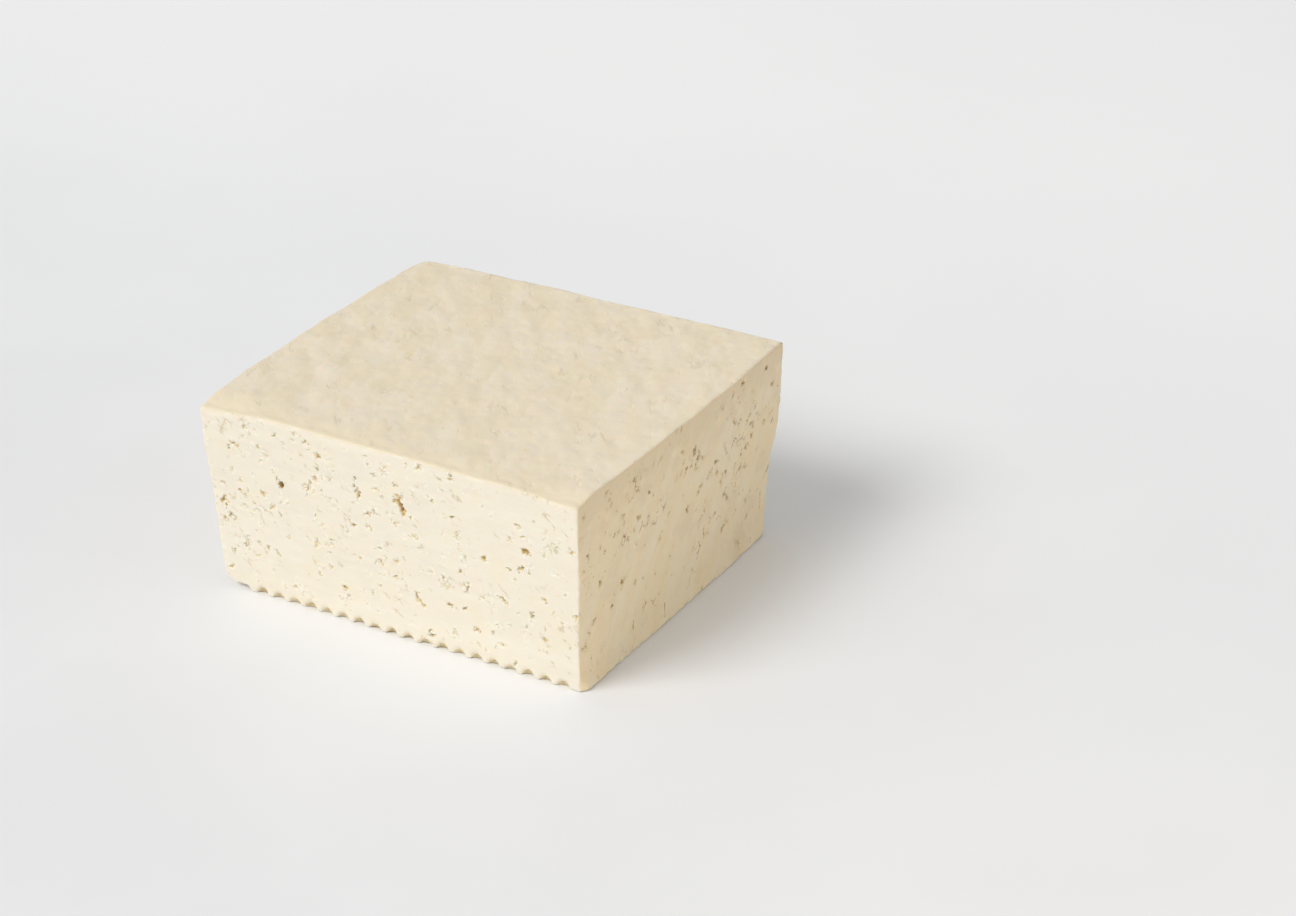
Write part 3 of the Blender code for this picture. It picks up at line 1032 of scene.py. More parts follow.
@dataclass
class LongCutPatch(CutPatch):
    """The long knife cut, in the X-Z plane."""

    face = Face.LONG_CUT

    def from_plane(self, flat: Array) -> Array:
        """Return points on the long cut."""
        return np.column_stack((flat[:, 0], np.full(len(flat), self.form.front), flat[:, 1]))


@dataclass
class EndCutPatch(CutPatch):
    """The end's knife cut, in the Y-Z plane."""

    face = Face.END_CUT

    def from_plane(self, flat: Array) -> Array:
        """Return points on the end cut."""
        return np.column_stack((self.form.right_wall(flat[:, 1]), flat))


@dataclass
class SkinPatch(FacePatch):
    """The pressed skin, in the X-Y plane."""

    face = Face.SKIN

    def from_plane(self, flat: Array) -> Array:
        """Return points on the skin."""
        return np.column_stack((flat, np.full(len(flat), self.form.height)))


@dataclass
class WallPatch(FacePatch):
    """A mould wall, unrolled round its foot and its upper edge."""

    foot: float = 0.0
    flipped = True

    def __post_init__(self) -> None:
        """Measure the way up the wall."""
        self.arc = WallArc(self.form, self.foot)

    def to_plane(self, bar: Array) -> Array:
        """Return places along the wall and the way up it."""
        return np.column_stack((bar[:, self.face.plane[0]], self.arc.way_at(bar[:, 2])))


@dataclass
class LeftWallPatch(WallPatch):
    """The left mould wall, with Y along its plane."""

    face = Face.LEFT_WALL

    def from_plane(self, flat: Array) -> Array:
        """Return points on the left wall."""
        z = self.arc.height_at(flat[:, 1])
        return np.column_stack((self.form.left_wall(z), flat[:, 0], z))


@dataclass
class BackWallPatch(WallPatch):
    """The back mould wall, with X along its plane, fine where it turns the left corner."""

    face = Face.BACK_WALL
    nearest = 0.02 * MM

    def from_plane(self, flat: Array) -> Array:
        """Return points on the back wall."""
        z = self.arc.height_at(flat[:, 1])
        return np.column_stack((flat[:, 0], np.full(len(z), self.form.back), z))

    def detail(self, flat: Array) -> Array:
        """Return the triangle size, which is small where the wall turns the corner."""
        z = self.arc.height_at(flat[:, 1])
        inside = np.maximum(flat[:, 0] - self.form.left_wall(z), self.nearest)
        slope = np.sqrt(self.form.corner_radius / inside)
        return np.where(inside < self.form.corner_radius, self.base / slope, self.base)


@dataclass
class UndersidePatch(FacePatch):
    """The ribbed underside, drawn in along Y because the ribs run that way.

    It is drawn in less behind the long cut, where the grooves change.
    """

    face = Face.UNDERSIDE
    flipped = True
    near = 4.0 * MM
    near_draw = 0.9
    far_draw = 0.22

    def to_plane(self, bar: Array) -> Array:
        """Return X and the drawn-in Y of points of the bar."""
        behind = bar[:, 1] - self.form.front
        drawn = self.near_draw * np.minimum(behind, self.near)
        drawn += self.far_draw * np.maximum(behind - self.near, 0.0)
        return np.column_stack((bar[:, 0], drawn))

    def from_plane(self, flat: Array) -> Array:
        """Return the points of the underside that were drawn in to these."""
        x, drawn = flat.T
        edge = self.near_draw * self.near
        behind = np.minimum(drawn, edge) / self.near_draw
        y = self.form.front + behind + np.maximum(drawn - edge, 0.0) / self.far_draw
        return np.column_stack((x, y, self.form.underside(x, y)))


# ---- relief
@dataclass(frozen=True)
class CutRelief:
    """How a knife cut stands in and out: tears, chips, the drag of the blade."""

    tears: TearField
    lay: float
    seed: int
    drag_depth: float = 0.05 * MM
    sway_depth: float = 0.10 * MM
    lip_height: float = 0.09 * MM
    lip_width: float = 0.28 * MM
    graze_depth: float = 0.09 * MM
    full_hollow: float = 1.3 * MM
    rim_highlight_share: float = 0.5
    fade: float = 0.9 * MM
    clear_reach: float = 2.0 * MM
    drag_length: float = 2.6 * MM
    sway_length: float = 24.0 * MM
    graze_length: float = 7.0 * MM
    grain_length: float = 1.3 * MM

    def inset(self, along: Array, up: Array, edge_gap: Array) -> tuple[Array, Array]:
        """Work out the relief.

        Args:
            along: Places along the face from its left foot.
            up: Heights above the table.
            edge_gap: Distances from the skin and from the other cut.

        Returns:
            How far each place stands in, and how deep in a hollow it is, from 0 to 1, or
            below 0 on a hollow's raised rim.
        """
        depth, clear = self.tears.sample(along, up, self.clear_reach)
        inside = smooth_ramp(edge_gap, 0.0, self.fade)
        drag = RippleField(self.seed, self.drag_length, 7.0, self.lay).at(along, up)
        sway = RippleField(self.seed + 1, self.sway_length, 2.0, self.lay).at(along, up)
        patch = RippleField(self.seed + 2, self.graze_length).at(along, up)
        grain = RippleField(self.seed + 3, self.grain_length, 1.6, self.lay).at(along, up)
        graze = smooth_ramp(patch, 0.2, 0.9) * smooth_ramp(grain, -0.3, 0.8)
        ragged = 0.5 + 0.5 * RippleField(self.seed + 4, self.grain_length).at(along, up)
        lip = np.exp(-((clear / self.lip_width) ** 2)) * np.clip(ragged, 0.0, 1.0)
        lip = np.where(depth > 0.0, 0.0, lip) * inside
        depth = depth * inside
        fine = (self.drag_depth * drag + self.graze_depth * graze) * inside
        inset = depth + fine + self.sway_depth * sway - self.lip_height * lip
        # Below zero on a raised rim, where the shader paints a highlight.
        return inset, np.clip(depth / self.full_hollow, 0.0, 1.0) - self.rim_highlight_share * lip


@dataclass(frozen=True)
class SkinRelief:
    """How the skin stands in and out: low pillows, dimples and the pressing cloth's creases."""

    seed: int
    lay: float = 122.0
    pillow_depth: float = 0.11 * MM
    crease_depth: float = 0.20 * MM
    dimple_depth: float = 0.07 * MM
    pillow_length: float = 6.5 * MM
    fold_length: float = 4.2 * MM
    crease_length: float = 6.0 * MM
    dimple_length: float = 2.4 * MM
    crease_width: float = 0.17
    edge_share: float = 0.3
    edge_reach: float = 3.0 * MM

    def inset(self, along: Array, across: Array, edge_gap: Array) -> Array:
        """Work out how far the skin stands in.

        Args:
            along: Places along the long cut.
            across: Places from front to back.
            edge_gap: Distances from the skin's edges, where the cloth lay flat.

        Returns:
            The inset.
        """
        pillow = RippleField(self.seed, self.pillow_length, 1.5, self.lay).at(along, across)
        fold = RippleField(self.seed + 1, self.fold_length, 1.5, self.lay).at(along, across)
        where = RippleField(self.seed + 2, self.crease_length, 1.3, self.lay).at(along, across)
        crease = np.exp(-((fold / self.crease_width) ** 2)) * smooth_ramp(where, 0.25, 0.95)
        dimple = RippleField(self.seed + 3, self.dimple_length, 1.6, self.lay).at(along, across)
        inset = self.pillow_depth * pillow + self.crease_depth * crease
        inset = inset + self.dimple_depth * dimple
        flat = smooth_ramp(edge_gap, 0.0, self.edge_reach)
        return inset * (self.edge_share + (1.0 - self.edge_share) * flat)


@dataclass(frozen=True)
class WallRelief:
    """How a mould wall stands in and out: faint upright streaks and slow waves."""

    seed: int
    streak_depth: float = 0.06 * MM
    streak_length: float = 4.0 * MM
    wave_depth: float = 0.12 * MM
    wave_length: float = 18.0 * MM
    lay: float = 82.0

    def inset(self, along: Array, up: Array) -> Array:
        """Return how far the wall stands in at places along it and heights above the table."""
        streak = RippleField(self.seed, self.streak_length, 3.0, self.lay).at(along, up)
        wave = RippleField(self.seed + 1, self.wave_length).at(along, up)
        return self.streak_depth * streak + self.wave_depth * wave


@dataclass(frozen=True)
class EdgeRounding:
    """How soft an edge between two faces is, and how uneven along its length."""

    faces: tuple[Face, Face]
    radius: float
    seed: int
    waver: float = 0.4
    wavelength: float = 4.0 * MM
    half_turn: float = math.pi / 4.0

    def bend(self, gap: Array, along: Array) -> tuple[Array, Array]:
        """Bend a face round the edge.

        Args:
            gap: Distances from the edge.
            along: Places along the edge.

        Returns:
            How far the face stands in, and how far its points move away from the edge.
        """
        uneven = RippleField(self.seed, self.wavelength).at(along, np.zeros_like(along))
        own = self.radius * (1.0 + self.waver * np.clip(uneven, -1.0, 1.0))
        near = np.clip(1.0 - gap / own, 0.0, 1.0)
        turn = self.half_turn * near
        inset = own * (1.0 - np.cos(turn))
        shift = np.where(near > 0.0, own * (1.0 - np.sin(turn)) - gap, 0.0)
        return inset, shift


ROUNDED_EDGES = (
    EdgeRounding((Face.LONG_CUT, Face.SKIN), 1.0 * MM, Seed.EDGES, 0.15, 9.0 * MM),
    EdgeRounding((Face.END_CUT, Face.SKIN), 0.6 * MM, Seed.EDGES + 4, 0.35, 8.0 * MM),
    EdgeRounding((Face.LONG_CUT, Face.END_CUT), 0.5 * MM, Seed.EDGES + 1),
    EdgeRounding((Face.LONG_CUT, Face.LEFT_WALL), 0.55 * MM, Seed.EDGES + 3),
    EdgeRounding((Face.END_CUT, Face.BACK_WALL), 0.55 * MM, Seed.EDGES + 6),
    EdgeRounding((Face.LONG_CUT, Face.UNDERSIDE), 0.55 * MM, Seed.EDGES + 2, 0.3),
    EdgeRounding((Face.END_CUT, Face.UNDERSIDE), 0.9 * MM, Seed.EDGES + 5),
)


# ---- node sheets
class SocketKind(Enum):
    """The kinds of socket that an effect has."""

    VECTOR = "NodeSocketVector"
    COLOUR = "NodeSocketColor"
    VALUE = "NodeSocketFloat"


VECTOR, COLOUR, VALUE = SocketKind


@dataclass(frozen=True)
class Lay:
    """How an effect lies: its stretch along each axis, after its turn about each, in degrees."""

    stretch: Triple = (1.0, 1.0, 1.0)
    turn: Triple = (0.0, 0.0, 0.0)


class NodeSheet:
    """A shader node tree under construction."""

    def __init__(self, tree: bpy.types.NodeTree) -> None:
        """Take the tree."""
        self.tree = tree

    def add(
        self, kind: str, inputs: dict[str | int, Source] | None = None, **settings: object
    ) -> bpy.types.Node:
        """Add a node.

        Args:
            kind: The node's type.
            inputs: The value or the socket for each of its inputs, by name or number.
            settings: Values of the node's properties, by name.

        Returns:
            The node.
        """
        node = self.tree.nodes.new(kind)
        for name, value in settings.items():
            setattr(node, name, value)
        self.feed(node, inputs or {})
        return node

    def feed(self, node: bpy.types.Node, inputs: dict[str | int, Source]) -> None:
        """Give a node's inputs values, or join sockets to them.

        Args:
            node: The node.
            inputs: The values and sockets, by name or number. A colour's value is made opaque.
        """
        for name, source in inputs.items():
            inlet = node.inputs[name]
            if isinstance(source, Socket):
                self.tree.links.new(source, inlet)
            else:
                inlet.default_value = (*source, 1.0) if inlet.type == "RGBA" else source

    def noise(
        self, vector: Socket, scale: Source, detail: float = 2.0, roughness: float = 0.5
    ) -> Socket:
        """Return cloudy noise with so many clouds per metre, and finer layers over them."""
        inputs = {"Vector": vector, "Scale": scale, "Detail": detail, "Roughness": roughness}
        return self.add("ShaderNodeTexNoise", inputs).outputs["Fac"]

    def cells(self, vector: Socket, scale: Source, feature: str = "F1") -> Outputs:
        """Return the measures of a field of cells, with so many cells per metre."""
        inputs = {"Vector": vector, "Scale": scale}
        return self.add("ShaderNodeTexVoronoi", inputs, feature=feature).outputs

    def arrow(self, operation: str, inputs: dict[str | int, Source]) -> Socket:
        """Return the result of a sum of vectors."""
        return self.add("ShaderNodeVectorMath", inputs, operation=operation).outputs[0]

    def warped(self, vector: Socket, scale: Source, size: float) -> Socket:
        """Stir coordinates, so that what is read there has ragged outlines.

        Args:
            vector: The coordinates.
            scale: Swirls per metre.
            size: How far they are moved, in metres.

        Returns:
            The stirred coordinates.
        """
        noise = self.add("ShaderNodeTexNoise", {"Vector": vector, "Scale": scale})
        centred = self.arrow("SUBTRACT", {0: noise.outputs["Color"], 1: (0.5, 0.5, 0.5)})
        moved = self.arrow("SCALE", {0: centred, "Scale": size})
        return self.arrow("ADD", {0: vector, 1: moved})

    def ramp(
        self, value: Socket, start: Source, end: Source, low: Source = 0.0, high: Source = 1.0
    ) -> Socket:
        """Return a smooth climb from low, where the value is at the start, to high at the end."""
        inputs = dict(enumerate((value, start, end, low, high)))
        return self.add("ShaderNodeMapRange", inputs, interpolation_type="SMOOTHSTEP").outputs[0]

    def sum(self, operation: str, first: Source, second: Source) -> Socket:
        """Return the result of a sum of two numbers."""
        return self.add("ShaderNodeMath", {0: first, 1: second}, operation=operation).outputs[0]

    def times(self, first: Source, second: Source) -> Socket:
        """Return the product of two numbers."""
        return self.sum("MULTIPLY", first, second)

    def blend(self, share: Source, first: Source, second: Source) -> Socket:
        """Return a blend of two colours, with the share of the second."""
        inputs = {0: share, 6: first, 7: second}
        return self.add("ShaderNodeMix", inputs, data_type="RGBA").outputs[2]

    def place(self, lay: Lay = Lay()) -> Socket:
        """Return the object's own coordinates, laid so for what is read there."""
        spot = self.add("ShaderNodeTexCoord").outputs["Object"]
        turn = tuple(math.radians(angle) for angle in lay.turn)
        inputs = {"Vector": spot, "Rotation": turn, "Scale": lay.stretch}
        return self.add("ShaderNodeMapping", inputs, vector_type="TEXTURE").outputs[0]

    def attribute(self, name: str) -> Socket:
        """Return a vertex attribute's value."""
        return self.add("ShaderNodeAttribute", attribute_name=name).outputs["Fac"]


class EffectGroup:
    """A shader effect that several finishes share, built once as a node group."""

    title = ""
    takes: dict[str, SocketKind] = {}
    gives: dict[str, SocketKind] = {}

    def __init__(self) -> None:
        """Make the group's sockets and nodes."""
        self.group = bpy.data.node_groups.new(self.title, "ShaderNodeTree")
        for in_out, sockets in (("INPUT", self.takes), ("OUTPUT", self.gives)):
            for name, kind in sockets.items():
                self.group.interface.new_socket(name=name, in_out=in_out, socket_type=kind.value)
        self.sheet = NodeSheet(self.group)
        self.inlet = self.sheet.add("NodeGroupInput").outputs
        self.sheet.add("NodeGroupOutput", self.draw())

    def draw(self) -> dict[str, Socket]:
        """Draw the group's nodes and return what it gives, by name."""
        raise NotImplementedError

    def use(self, sheet: NodeSheet, **values: Source) -> Outputs:
        """Place the group in a material, with _ for spaces in names, and return its outputs."""
        inputs = {name.replace("_", " "): value for name, value in values.items()}
        return sheet.add("ShaderNodeGroup", inputs, node_tree=self.group).outputs


class CurdMottle(EffectGroup):
    """Soft patches of three tones in the curd, with small pale flecks."""

    title = "Curd Mottle"
    takes = {
        "Spot": VECTOR,
        "Base": COLOUR,
        "Warm": COLOUR,
        "Grey": COLOUR,
        "Fleck": COLOUR,
        "Patches Per Metre": VALUE,
        "Patch Share": VALUE,
        "Patch Edge": VALUE,
        "Fleck Share": VALUE,
    }
    gives = {"Color": COLOUR}
    swirls_per_metre = 260.0
    swirl_size = 5.0 * MM
    cells_per_patch = 1.3
    warm_tones = (0.50, 0.68)
    grey_tones = (0.50, 0.32)
    flecks_per_metre = 1100.0
    fleck_tones = (0.62, 0.74)

    def draw(self) -> dict[str, Socket]:
        """Draw clouds, patches with ragged edges in them, and flecks over both.

        Returns:
            The colour.
        """
        sheet, inlet = self.sheet, self.inlet
        spot, scale = inlet["Spot"], inlet["Patches Per Metre"]
        clouds = sheet.noise(spot, scale, detail=3.0, roughness=0.55)
        stirred = sheet.warped(spot, self.swirls_per_metre, self.swirl_size)
        cell = sheet.cells(stirred, sheet.times(scale, self.cells_per_patch))["Color"]
        lean = sheet.times(sheet.sum("SUBTRACT", cell, 0.5), inlet["Patch Edge"])
        tone = sheet.sum("ADD", clouds, lean)
        colour = inlet["Base"]
        for name, tones in (("Warm", self.warm_tones), ("Grey", self.grey_tones)):
            share = sheet.times(sheet.ramp(tone, *tones), inlet["Patch Share"])
            colour = sheet.blend(share, colour, inlet[name])
        fine = sheet.noise(spot, self.flecks_per_metre, roughness=0.6)
        fleck = sheet.times(sheet.ramp(fine, *self.fleck_tones), inlet["Fleck Share"])
        return {"Color": sheet.blend(fleck, colour, inlet["Fleck"])}


class CurdGrain(EffectGroup):
    """The fine granules of the curd, as heights and as a mask for gloss."""

    title = "Curd Grain"
    takes = {"Grains Per Metre": VALUE}
    gives = {"Height": VALUE, "Gloss": VALUE}
    granule_share = 0.5
    fine_per_grain = 1.7
    gloss_per_grain = 0.12

    def draw(self) -> dict[str, Socket]:
        """Draw granules and the fine roughness between them.

        Returns:
            The heights and the mask.
        """
        sheet = self.sheet
        spot, scale = sheet.place(), self.inlet["Grains Per Metre"]
        granule = sheet.cells(spot, scale, "SMOOTH_F1")["Distance"]
        fine, gloss = (
            sheet.noise(spot, sheet.times(scale, times), detail=3.0, roughness=0.6)
            for times in (self.fine_per_grain, self.gloss_per_grain)
        )
        granule = sheet.times(granule, self.granule_share)
        return {"Height": sheet.sum("SUBTRACT", fine, granule), "Gloss": gloss}


class CurdNicks(EffectGroup):
    """Hair-thin cracks and forks between curds, finer than the torn holes."""

    title = "Curd Nicks"
    takes = {"Spot": VECTOR, "Nicks Per Metre": VALUE, "Width": VALUE, "Crowding": VALUE}
    gives = {"Mask": VALUE}
    swirls_per_metre = 700.0
    swirl_size = 1.6 * MM
    core_share = 0.25
    crowds_per_metre = 95.0
    crowd_lean = 0.7
    broken_tones = (0.56, 0.74)

    def draw(self) -> dict[str, Socket]:
        """Draw the seams between curds, broken off to short pieces where the curd holds.

        Returns:
            The mask, 1 inside a nick.
        """
        sheet, inlet = self.sheet, self.inlet
        spot, scale = inlet["Spot"], inlet["Nicks Per Metre"]
        stirred = sheet.warped(spot, self.swirls_per_metre, self.swirl_size)
        seam = sheet.cells(stirred, scale, "DISTANCE_TO_EDGE")["Distance"]
        core = sheet.times(inlet["Width"], self.core_share)
        line = sheet.ramp(seam, inlet["Width"], core)
        open_curd = sheet.noise(sheet.place(), self.crowds_per_metre)
        lean = sheet.times(sheet.sum("SUBTRACT", open_curd, 0.5), self.crowd_lean)
        holding = sheet.sum("ADD", sheet.sum("ADD", sheet.noise(spot, scale), lean), inlet["Crowding"])
        return {"Mask": sheet.times(line, sheet.ramp(holding, *self.broken_tones))}


class WheyStainAndShade(EffectGroup):
    """The browner curd in a torn hole, where whey stood, darkened further with depth as painted shade,
    and a paler rim round it as a painted highlight.
    """

    title = "Whey Stain And Shade"
    takes = {
        "Color": COLOUR,
        "Rim": COLOUR,
        "Shallow": COLOUR,
        "Middle": COLOUR,
        "Rust": COLOUR,
        "Deep": COLOUR,
        "Strength": VALUE,
    }
    gives = {"Color": COLOUR}
    crumbs_per_metre = 2400.0
    crumb_ends = (0.0, 0.15, 0.0, 0.9)
    patches_per_metre = 170.0
    patch_ends = (0.3, 0.6, 0.55, 1.0)
    rust_per_metre = 75.0
    rust_ends = (0.5, 0.7, 0.0, 0.3)
    rim_highlight_depths = (-0.02, -0.3)
    shallow_depths = (0.015, 0.15)
    middle_depths = (0.17, 0.5)
    deep_depths = (0.5, 0.95)

    def draw(self) -> dict[str, Socket]:
        """Draw the rim's painted highlight and the three stains over the colour, by the hollow's
        depth, the deeper ones partly painted shade.

        Returns:
            The colour.
        """
        sheet, inlet = self.sheet, self.inlet
        even = sheet.attribute(HOLLOW)
        crumb = sheet.noise(sheet.place(), self.crumbs_per_metre, roughness=0.6)
        crumb = sheet.sum("SUBTRACT", crumb, 0.5)
        crumb = sheet.times(crumb, sheet.ramp(even, *self.crumb_ends))
        hollow = sheet.sum("ADD", even, crumb)
        patchy = sheet.ramp(sheet.noise(sheet.place(), self.patches_per_metre), *self.patch_ends)
        amount = sheet.times(inlet["Strength"], patchy)
        # Painted highlight: a tear's raised rim is painted paler.
        colour = sheet.blend(sheet.ramp(hollow, *self.rim_highlight_depths), inlet["Color"], inlet["Rim"])
        patchy = sheet.noise(sheet.place(), self.rust_per_metre, detail=1.0)
        rusty = sheet.sum("MAXIMUM", sheet.ramp(patchy, *self.rust_ends), sheet.attribute(RUST))
        # Whey-stained colours that darken with the hollow's depth: partly real whey, partly painted
        # shade in the deeper hollows.
        stains = (
            (inlet["Shallow"], self.shallow_depths),
            (sheet.blend(rusty, inlet["Middle"], inlet["Rust"]), self.middle_depths),
            (inlet["Deep"], self.deep_depths),
        )
        for stain_and_shade, depths in stains:
            share = sheet.times(sheet.ramp(hollow, *depths), amount)
            colour = sheet.blend(share, colour, stain_and_shade)
        return {"Color": colour}


class BladeDrag(EffectGroup):
    """Fine streaks that a knife or a mould leaves along one direction."""

    title = "Blade Drag"
    takes = {"Spot": VECTOR, "Streaks Per Metre": VALUE}
    gives = {"Height": VALUE, "Mask": VALUE}
    broad_per_streak = 0.3
    fine_share = 0.5
    broad_tones = (0.42, 0.66)

    def draw(self) -> dict[str, Socket]:
        """Draw fine and broad streaks.

        Returns:
            The heights and the mask of the broad streaks.
        """
        sheet, spot, scale = self.sheet, self.inlet["Spot"], self.inlet["Streaks Per Metre"]
        fine = sheet.noise(spot, scale, detail=3.0, roughness=0.65)
        broad = sheet.noise(spot, sheet.times(scale, self.broad_per_streak))
        height = sheet.sum("ADD", sheet.times(fine, self.fine_share), broad)
        return {"Height": height, "Mask": sheet.ramp(broad, *self.broad_tones)}


@dataclass(frozen=True)
class Effects:
    """The effects that the finishes share."""

    mottle: CurdMottle
    grain: CurdGrain
    nicks: CurdNicks
    stain_and_shade: WheyStainAndShade
    drag: BladeDrag

    @classmethod
    def build(cls) -> Effects:
        """Build each group once and return them."""
        return cls(CurdMottle(), CurdGrain(), CurdNicks(), WheyStainAndShade(), BladeDrag())


# ---- finishes
@dataclass(frozen=True)
class CurdFinish:
    """A finish of the curd. Each face of the block has one with its own values."""

    name: str
    base: Colour
    warm: Colour
    grey: Colour
    fleck: Colour
    patches_per_metre: float
    patch_share: float
    patch_edge: float
    fleck_share: float
    streak_lay: Lay
    streaks_per_metre: float
    nick_lay: Lay
    streak_depth: float = 0.05 * MM
    streak_light: float = 0.3
    patch_lay: Lay = Lay(turn=(0.0, 0.0, 25.0))
    nicks_per_metre: float = 520.0
    nick_width: float = 0.09
    nick_crowding: float = -0.025
    nick_shade: float = 0.75
    nick_colour: Colour = (0.64, 0.56, 0.42)
    nick_depth: float = 0.06 * MM
    grains_per_metre: float = 1500.0
    grain_depth: float = 0.05 * MM
    gloss_tones: tuple[float, float] = (0.35, 0.65)
    roughness: tuple[float, float] = (0.46, 0.62)
    # Painted highlight on a tear's raised rim.
    rim_highlight_colour: Colour = (0.98, 0.92, 0.78)
    # Colours of a tear by depth: whey-stained curd, with painted shade in the middle and deep ones.
    shallow_stain: Colour = (0.80, 0.68, 0.42)
    middle_stain_and_shade: Colour = (0.60, 0.45, 0.20)
    rust_stain: Colour = (0.70, 0.42, 0.17)
    deep_stain_and_shade: Colour = (0.36, 0.20, 0.06)
    stain_strength: float = 1.0
    # The skin's own tone near the top edge; on the end cut it is painted shade over the upper strip.
    skin_tone_and_shade_colour: Colour = (0.828, 0.737, 0.572)
    strip_colour: Colour = (0.915, 0.803, 0.588)
    strip_share: float = 0.75
    strip_ends: tuple[float, float] = (0.0, 0.85)
    band_colour: Colour = (0.812, 0.72, 0.538)
    band_ends: tuple[float, float] = (0.86, 0.99)
    subsurface: float = 0.30
    scatter_depth: float = 1.1 * MM
    scatter_radius: Triple = (1.0, 0.72, 0.42)
    ior: float = 1.4
    specular: float = 0.4

    def make(self, effects: Effects) -> bpy.types.Material:
        """Make the material.

        Args:
            effects: The shared effects.

        Returns:
            The material.
        """
        material = bpy.data.materials.new(self.name)
        material.use_nodes = True
        sheet = NodeSheet(material.node_tree)
        streaks = effects.drag.use(
            sheet, Spot=sheet.place(self.streak_lay), Streaks_Per_Metre=self.streaks_per_metre
        )
        nicks = effects.nicks.use(
            sheet,
            Spot=sheet.place(self.nick_lay),
            Nicks_Per_Metre=self.nicks_per_metre,
            Width=self.nick_width,
            Crowding=self.nick_crowding,
        )["Mask"]
        grain = effects.grain.use(sheet, Grains_Per_Metre=self.grains_per_metre)
        height = self.height(sheet, grain["Height"], streaks["Height"], nicks)
        bump = sheet.add("ShaderNodeBump", {"Distance": 1.0, "Height": height})
        sheet.feed(material.node_tree.nodes["Principled BSDF"], {
            "Base Color": self.colour(sheet, effects, streaks["Mask"], nicks),
            "Roughness": sheet.ramp(grain["Gloss"], *self.gloss_tones, *self.roughness),
            "Normal": bump.outputs["Normal"],
            "Subsurface Weight": self.subsurface,
            "Subsurface Radius": self.scatter_radius,
            "Subsurface Scale": self.scatter_depth,
            "IOR": self.ior,
            "Specular IOR Level": self.specular,
        })
        return material

    def colour(self, sheet: NodeSheet, effects: Effects, streaks: Socket, nicks: Socket) -> Socket:
        """Draw the mottled, streaked, nicked and stained colour.

        Args:
            sheet: The material's nodes.
            effects: The shared effects.
            streaks: The mask of the streaks.
            nicks: The mask of the nicks.

        Returns:
            The colour.
        """
        colour = effects.mottle.use(
            sheet,
            Spot=sheet.place(self.patch_lay),
            Base=self.base,
            Warm=self.warm,
            Grey=self.grey,
            Fleck=self.fleck,
            Patches_Per_Metre=self.patches_per_metre,
            Patch_Share=self.patch_share,
            Patch_Edge=self.patch_edge,
            Fleck_Share=self.fleck_share,
        )["Color"]
        band = sheet.attribute(EDGE_BAND)
        layers = (
            (sheet.times(streaks, self.streak_light), self.fleck),
            (sheet.attribute(SKIN_TONE_AND_SHADE), self.skin_tone_and_shade_colour),
            (sheet.ramp(band, *self.strip_ends, 0.0, self.strip_share), self.strip_colour),
            (sheet.ramp(band, *self.band_ends), self.band_colour),
            (sheet.times(nicks, self.nick_shade), self.nick_colour),
        )
        for share, layer in layers:
            colour = sheet.blend(share, colour, layer)
        return effects.stain_and_shade.use(
            sheet,
            Color=colour,
            Rim=self.rim_highlight_colour,
            Shallow=self.shallow_stain,
            Middle=self.middle_stain_and_shade,
            Rust=self.rust_stain,
            Deep=self.deep_stain_and_shade,
            Strength=self.stain_strength,
        )["Color"]

    def height(self, sheet: NodeSheet, grain: Socket, streaks: Socket, nicks: Socket) -> Socket:
        """Add up the fine relief.

        Args:
            sheet: The material's nodes.
            grain: The heights of the grain.
            streaks: The heights of the streaks.
            nicks: The mask of the nicks.

        Returns:
            The heights, in metres.
        """
        height = sheet.times(grain, self.grain_depth)
        height = sheet.sum("ADD", height, sheet.times(streaks, self.streak_depth))
        return sheet.sum("SUBTRACT", height, sheet.times(nicks, self.nick_depth))


LONG_CUT_FINISH = CurdFinish(
    name="cut_curd_long",
    base=(0.927, 0.854, 0.71),
    warm=(0.927, 0.838, 0.66),
    grey=(0.887, 0.824, 0.69),
    fleck=(0.97, 0.91, 0.78),
    patches_per_metre=110.0,
    patch_share=0.6,
    patch_edge=0.12,
    fleck_share=0.15,
    streak_lay=Lay((9.0, 1.0, 1.0), (0.0, -6.0, 0.0)),
    streaks_per_metre=700.0,
    nick_lay=Lay((1.7, 1.0, 1.0), (0.0, 35.0, 0.0)),
    nick_colour=(0.68, 0.56, 0.36),
    shallow_stain=(0.81, 0.665, 0.37),
    middle_stain_and_shade=(0.60, 0.43, 0.17),
)

# Painted light: the end cut is the same curd as the long cut, but its colours are warmer and browner
# to stand in for warm bounce light on this shaded side.
END_CUT_FINISH = CurdFinish(
    name="cut_curd_end",
    base=(0.953, 0.790, 0.532),
    warm=(0.950, 0.757, 0.484),
    grey=(0.880, 0.736, 0.508),
    fleck=(0.98, 0.87, 0.665),
    patches_per_metre=130.0,
    patch_share=0.72,
    patch_edge=0.2,
    fleck_share=0.4,
    streak_lay=Lay((1.0, 4.5, 1.0), (60.0, 0.0, 0.0)),
    streaks_per_metre=520.0,
    streak_depth=0.14 * MM,
    streak_light=0.4,
    nick_lay=Lay((1.0, 2.2, 1.0), (60.0, 0.0, 0.0)),
    nicks_per_metre=560.0,
    nick_crowding=-0.055,
    nick_shade=0.95,
    nick_colour=(0.43, 0.265, 0.115),
    nick_depth=0.03 * MM,
    shallow_stain=(0.76, 0.59, 0.34),
    middle_stain_and_shade=(0.52, 0.345, 0.15),
    # Painted shade: this darker tone is laid over the end cut's upper strip.
    skin_tone_and_shade_colour=(0.858, 0.708, 0.474),
)

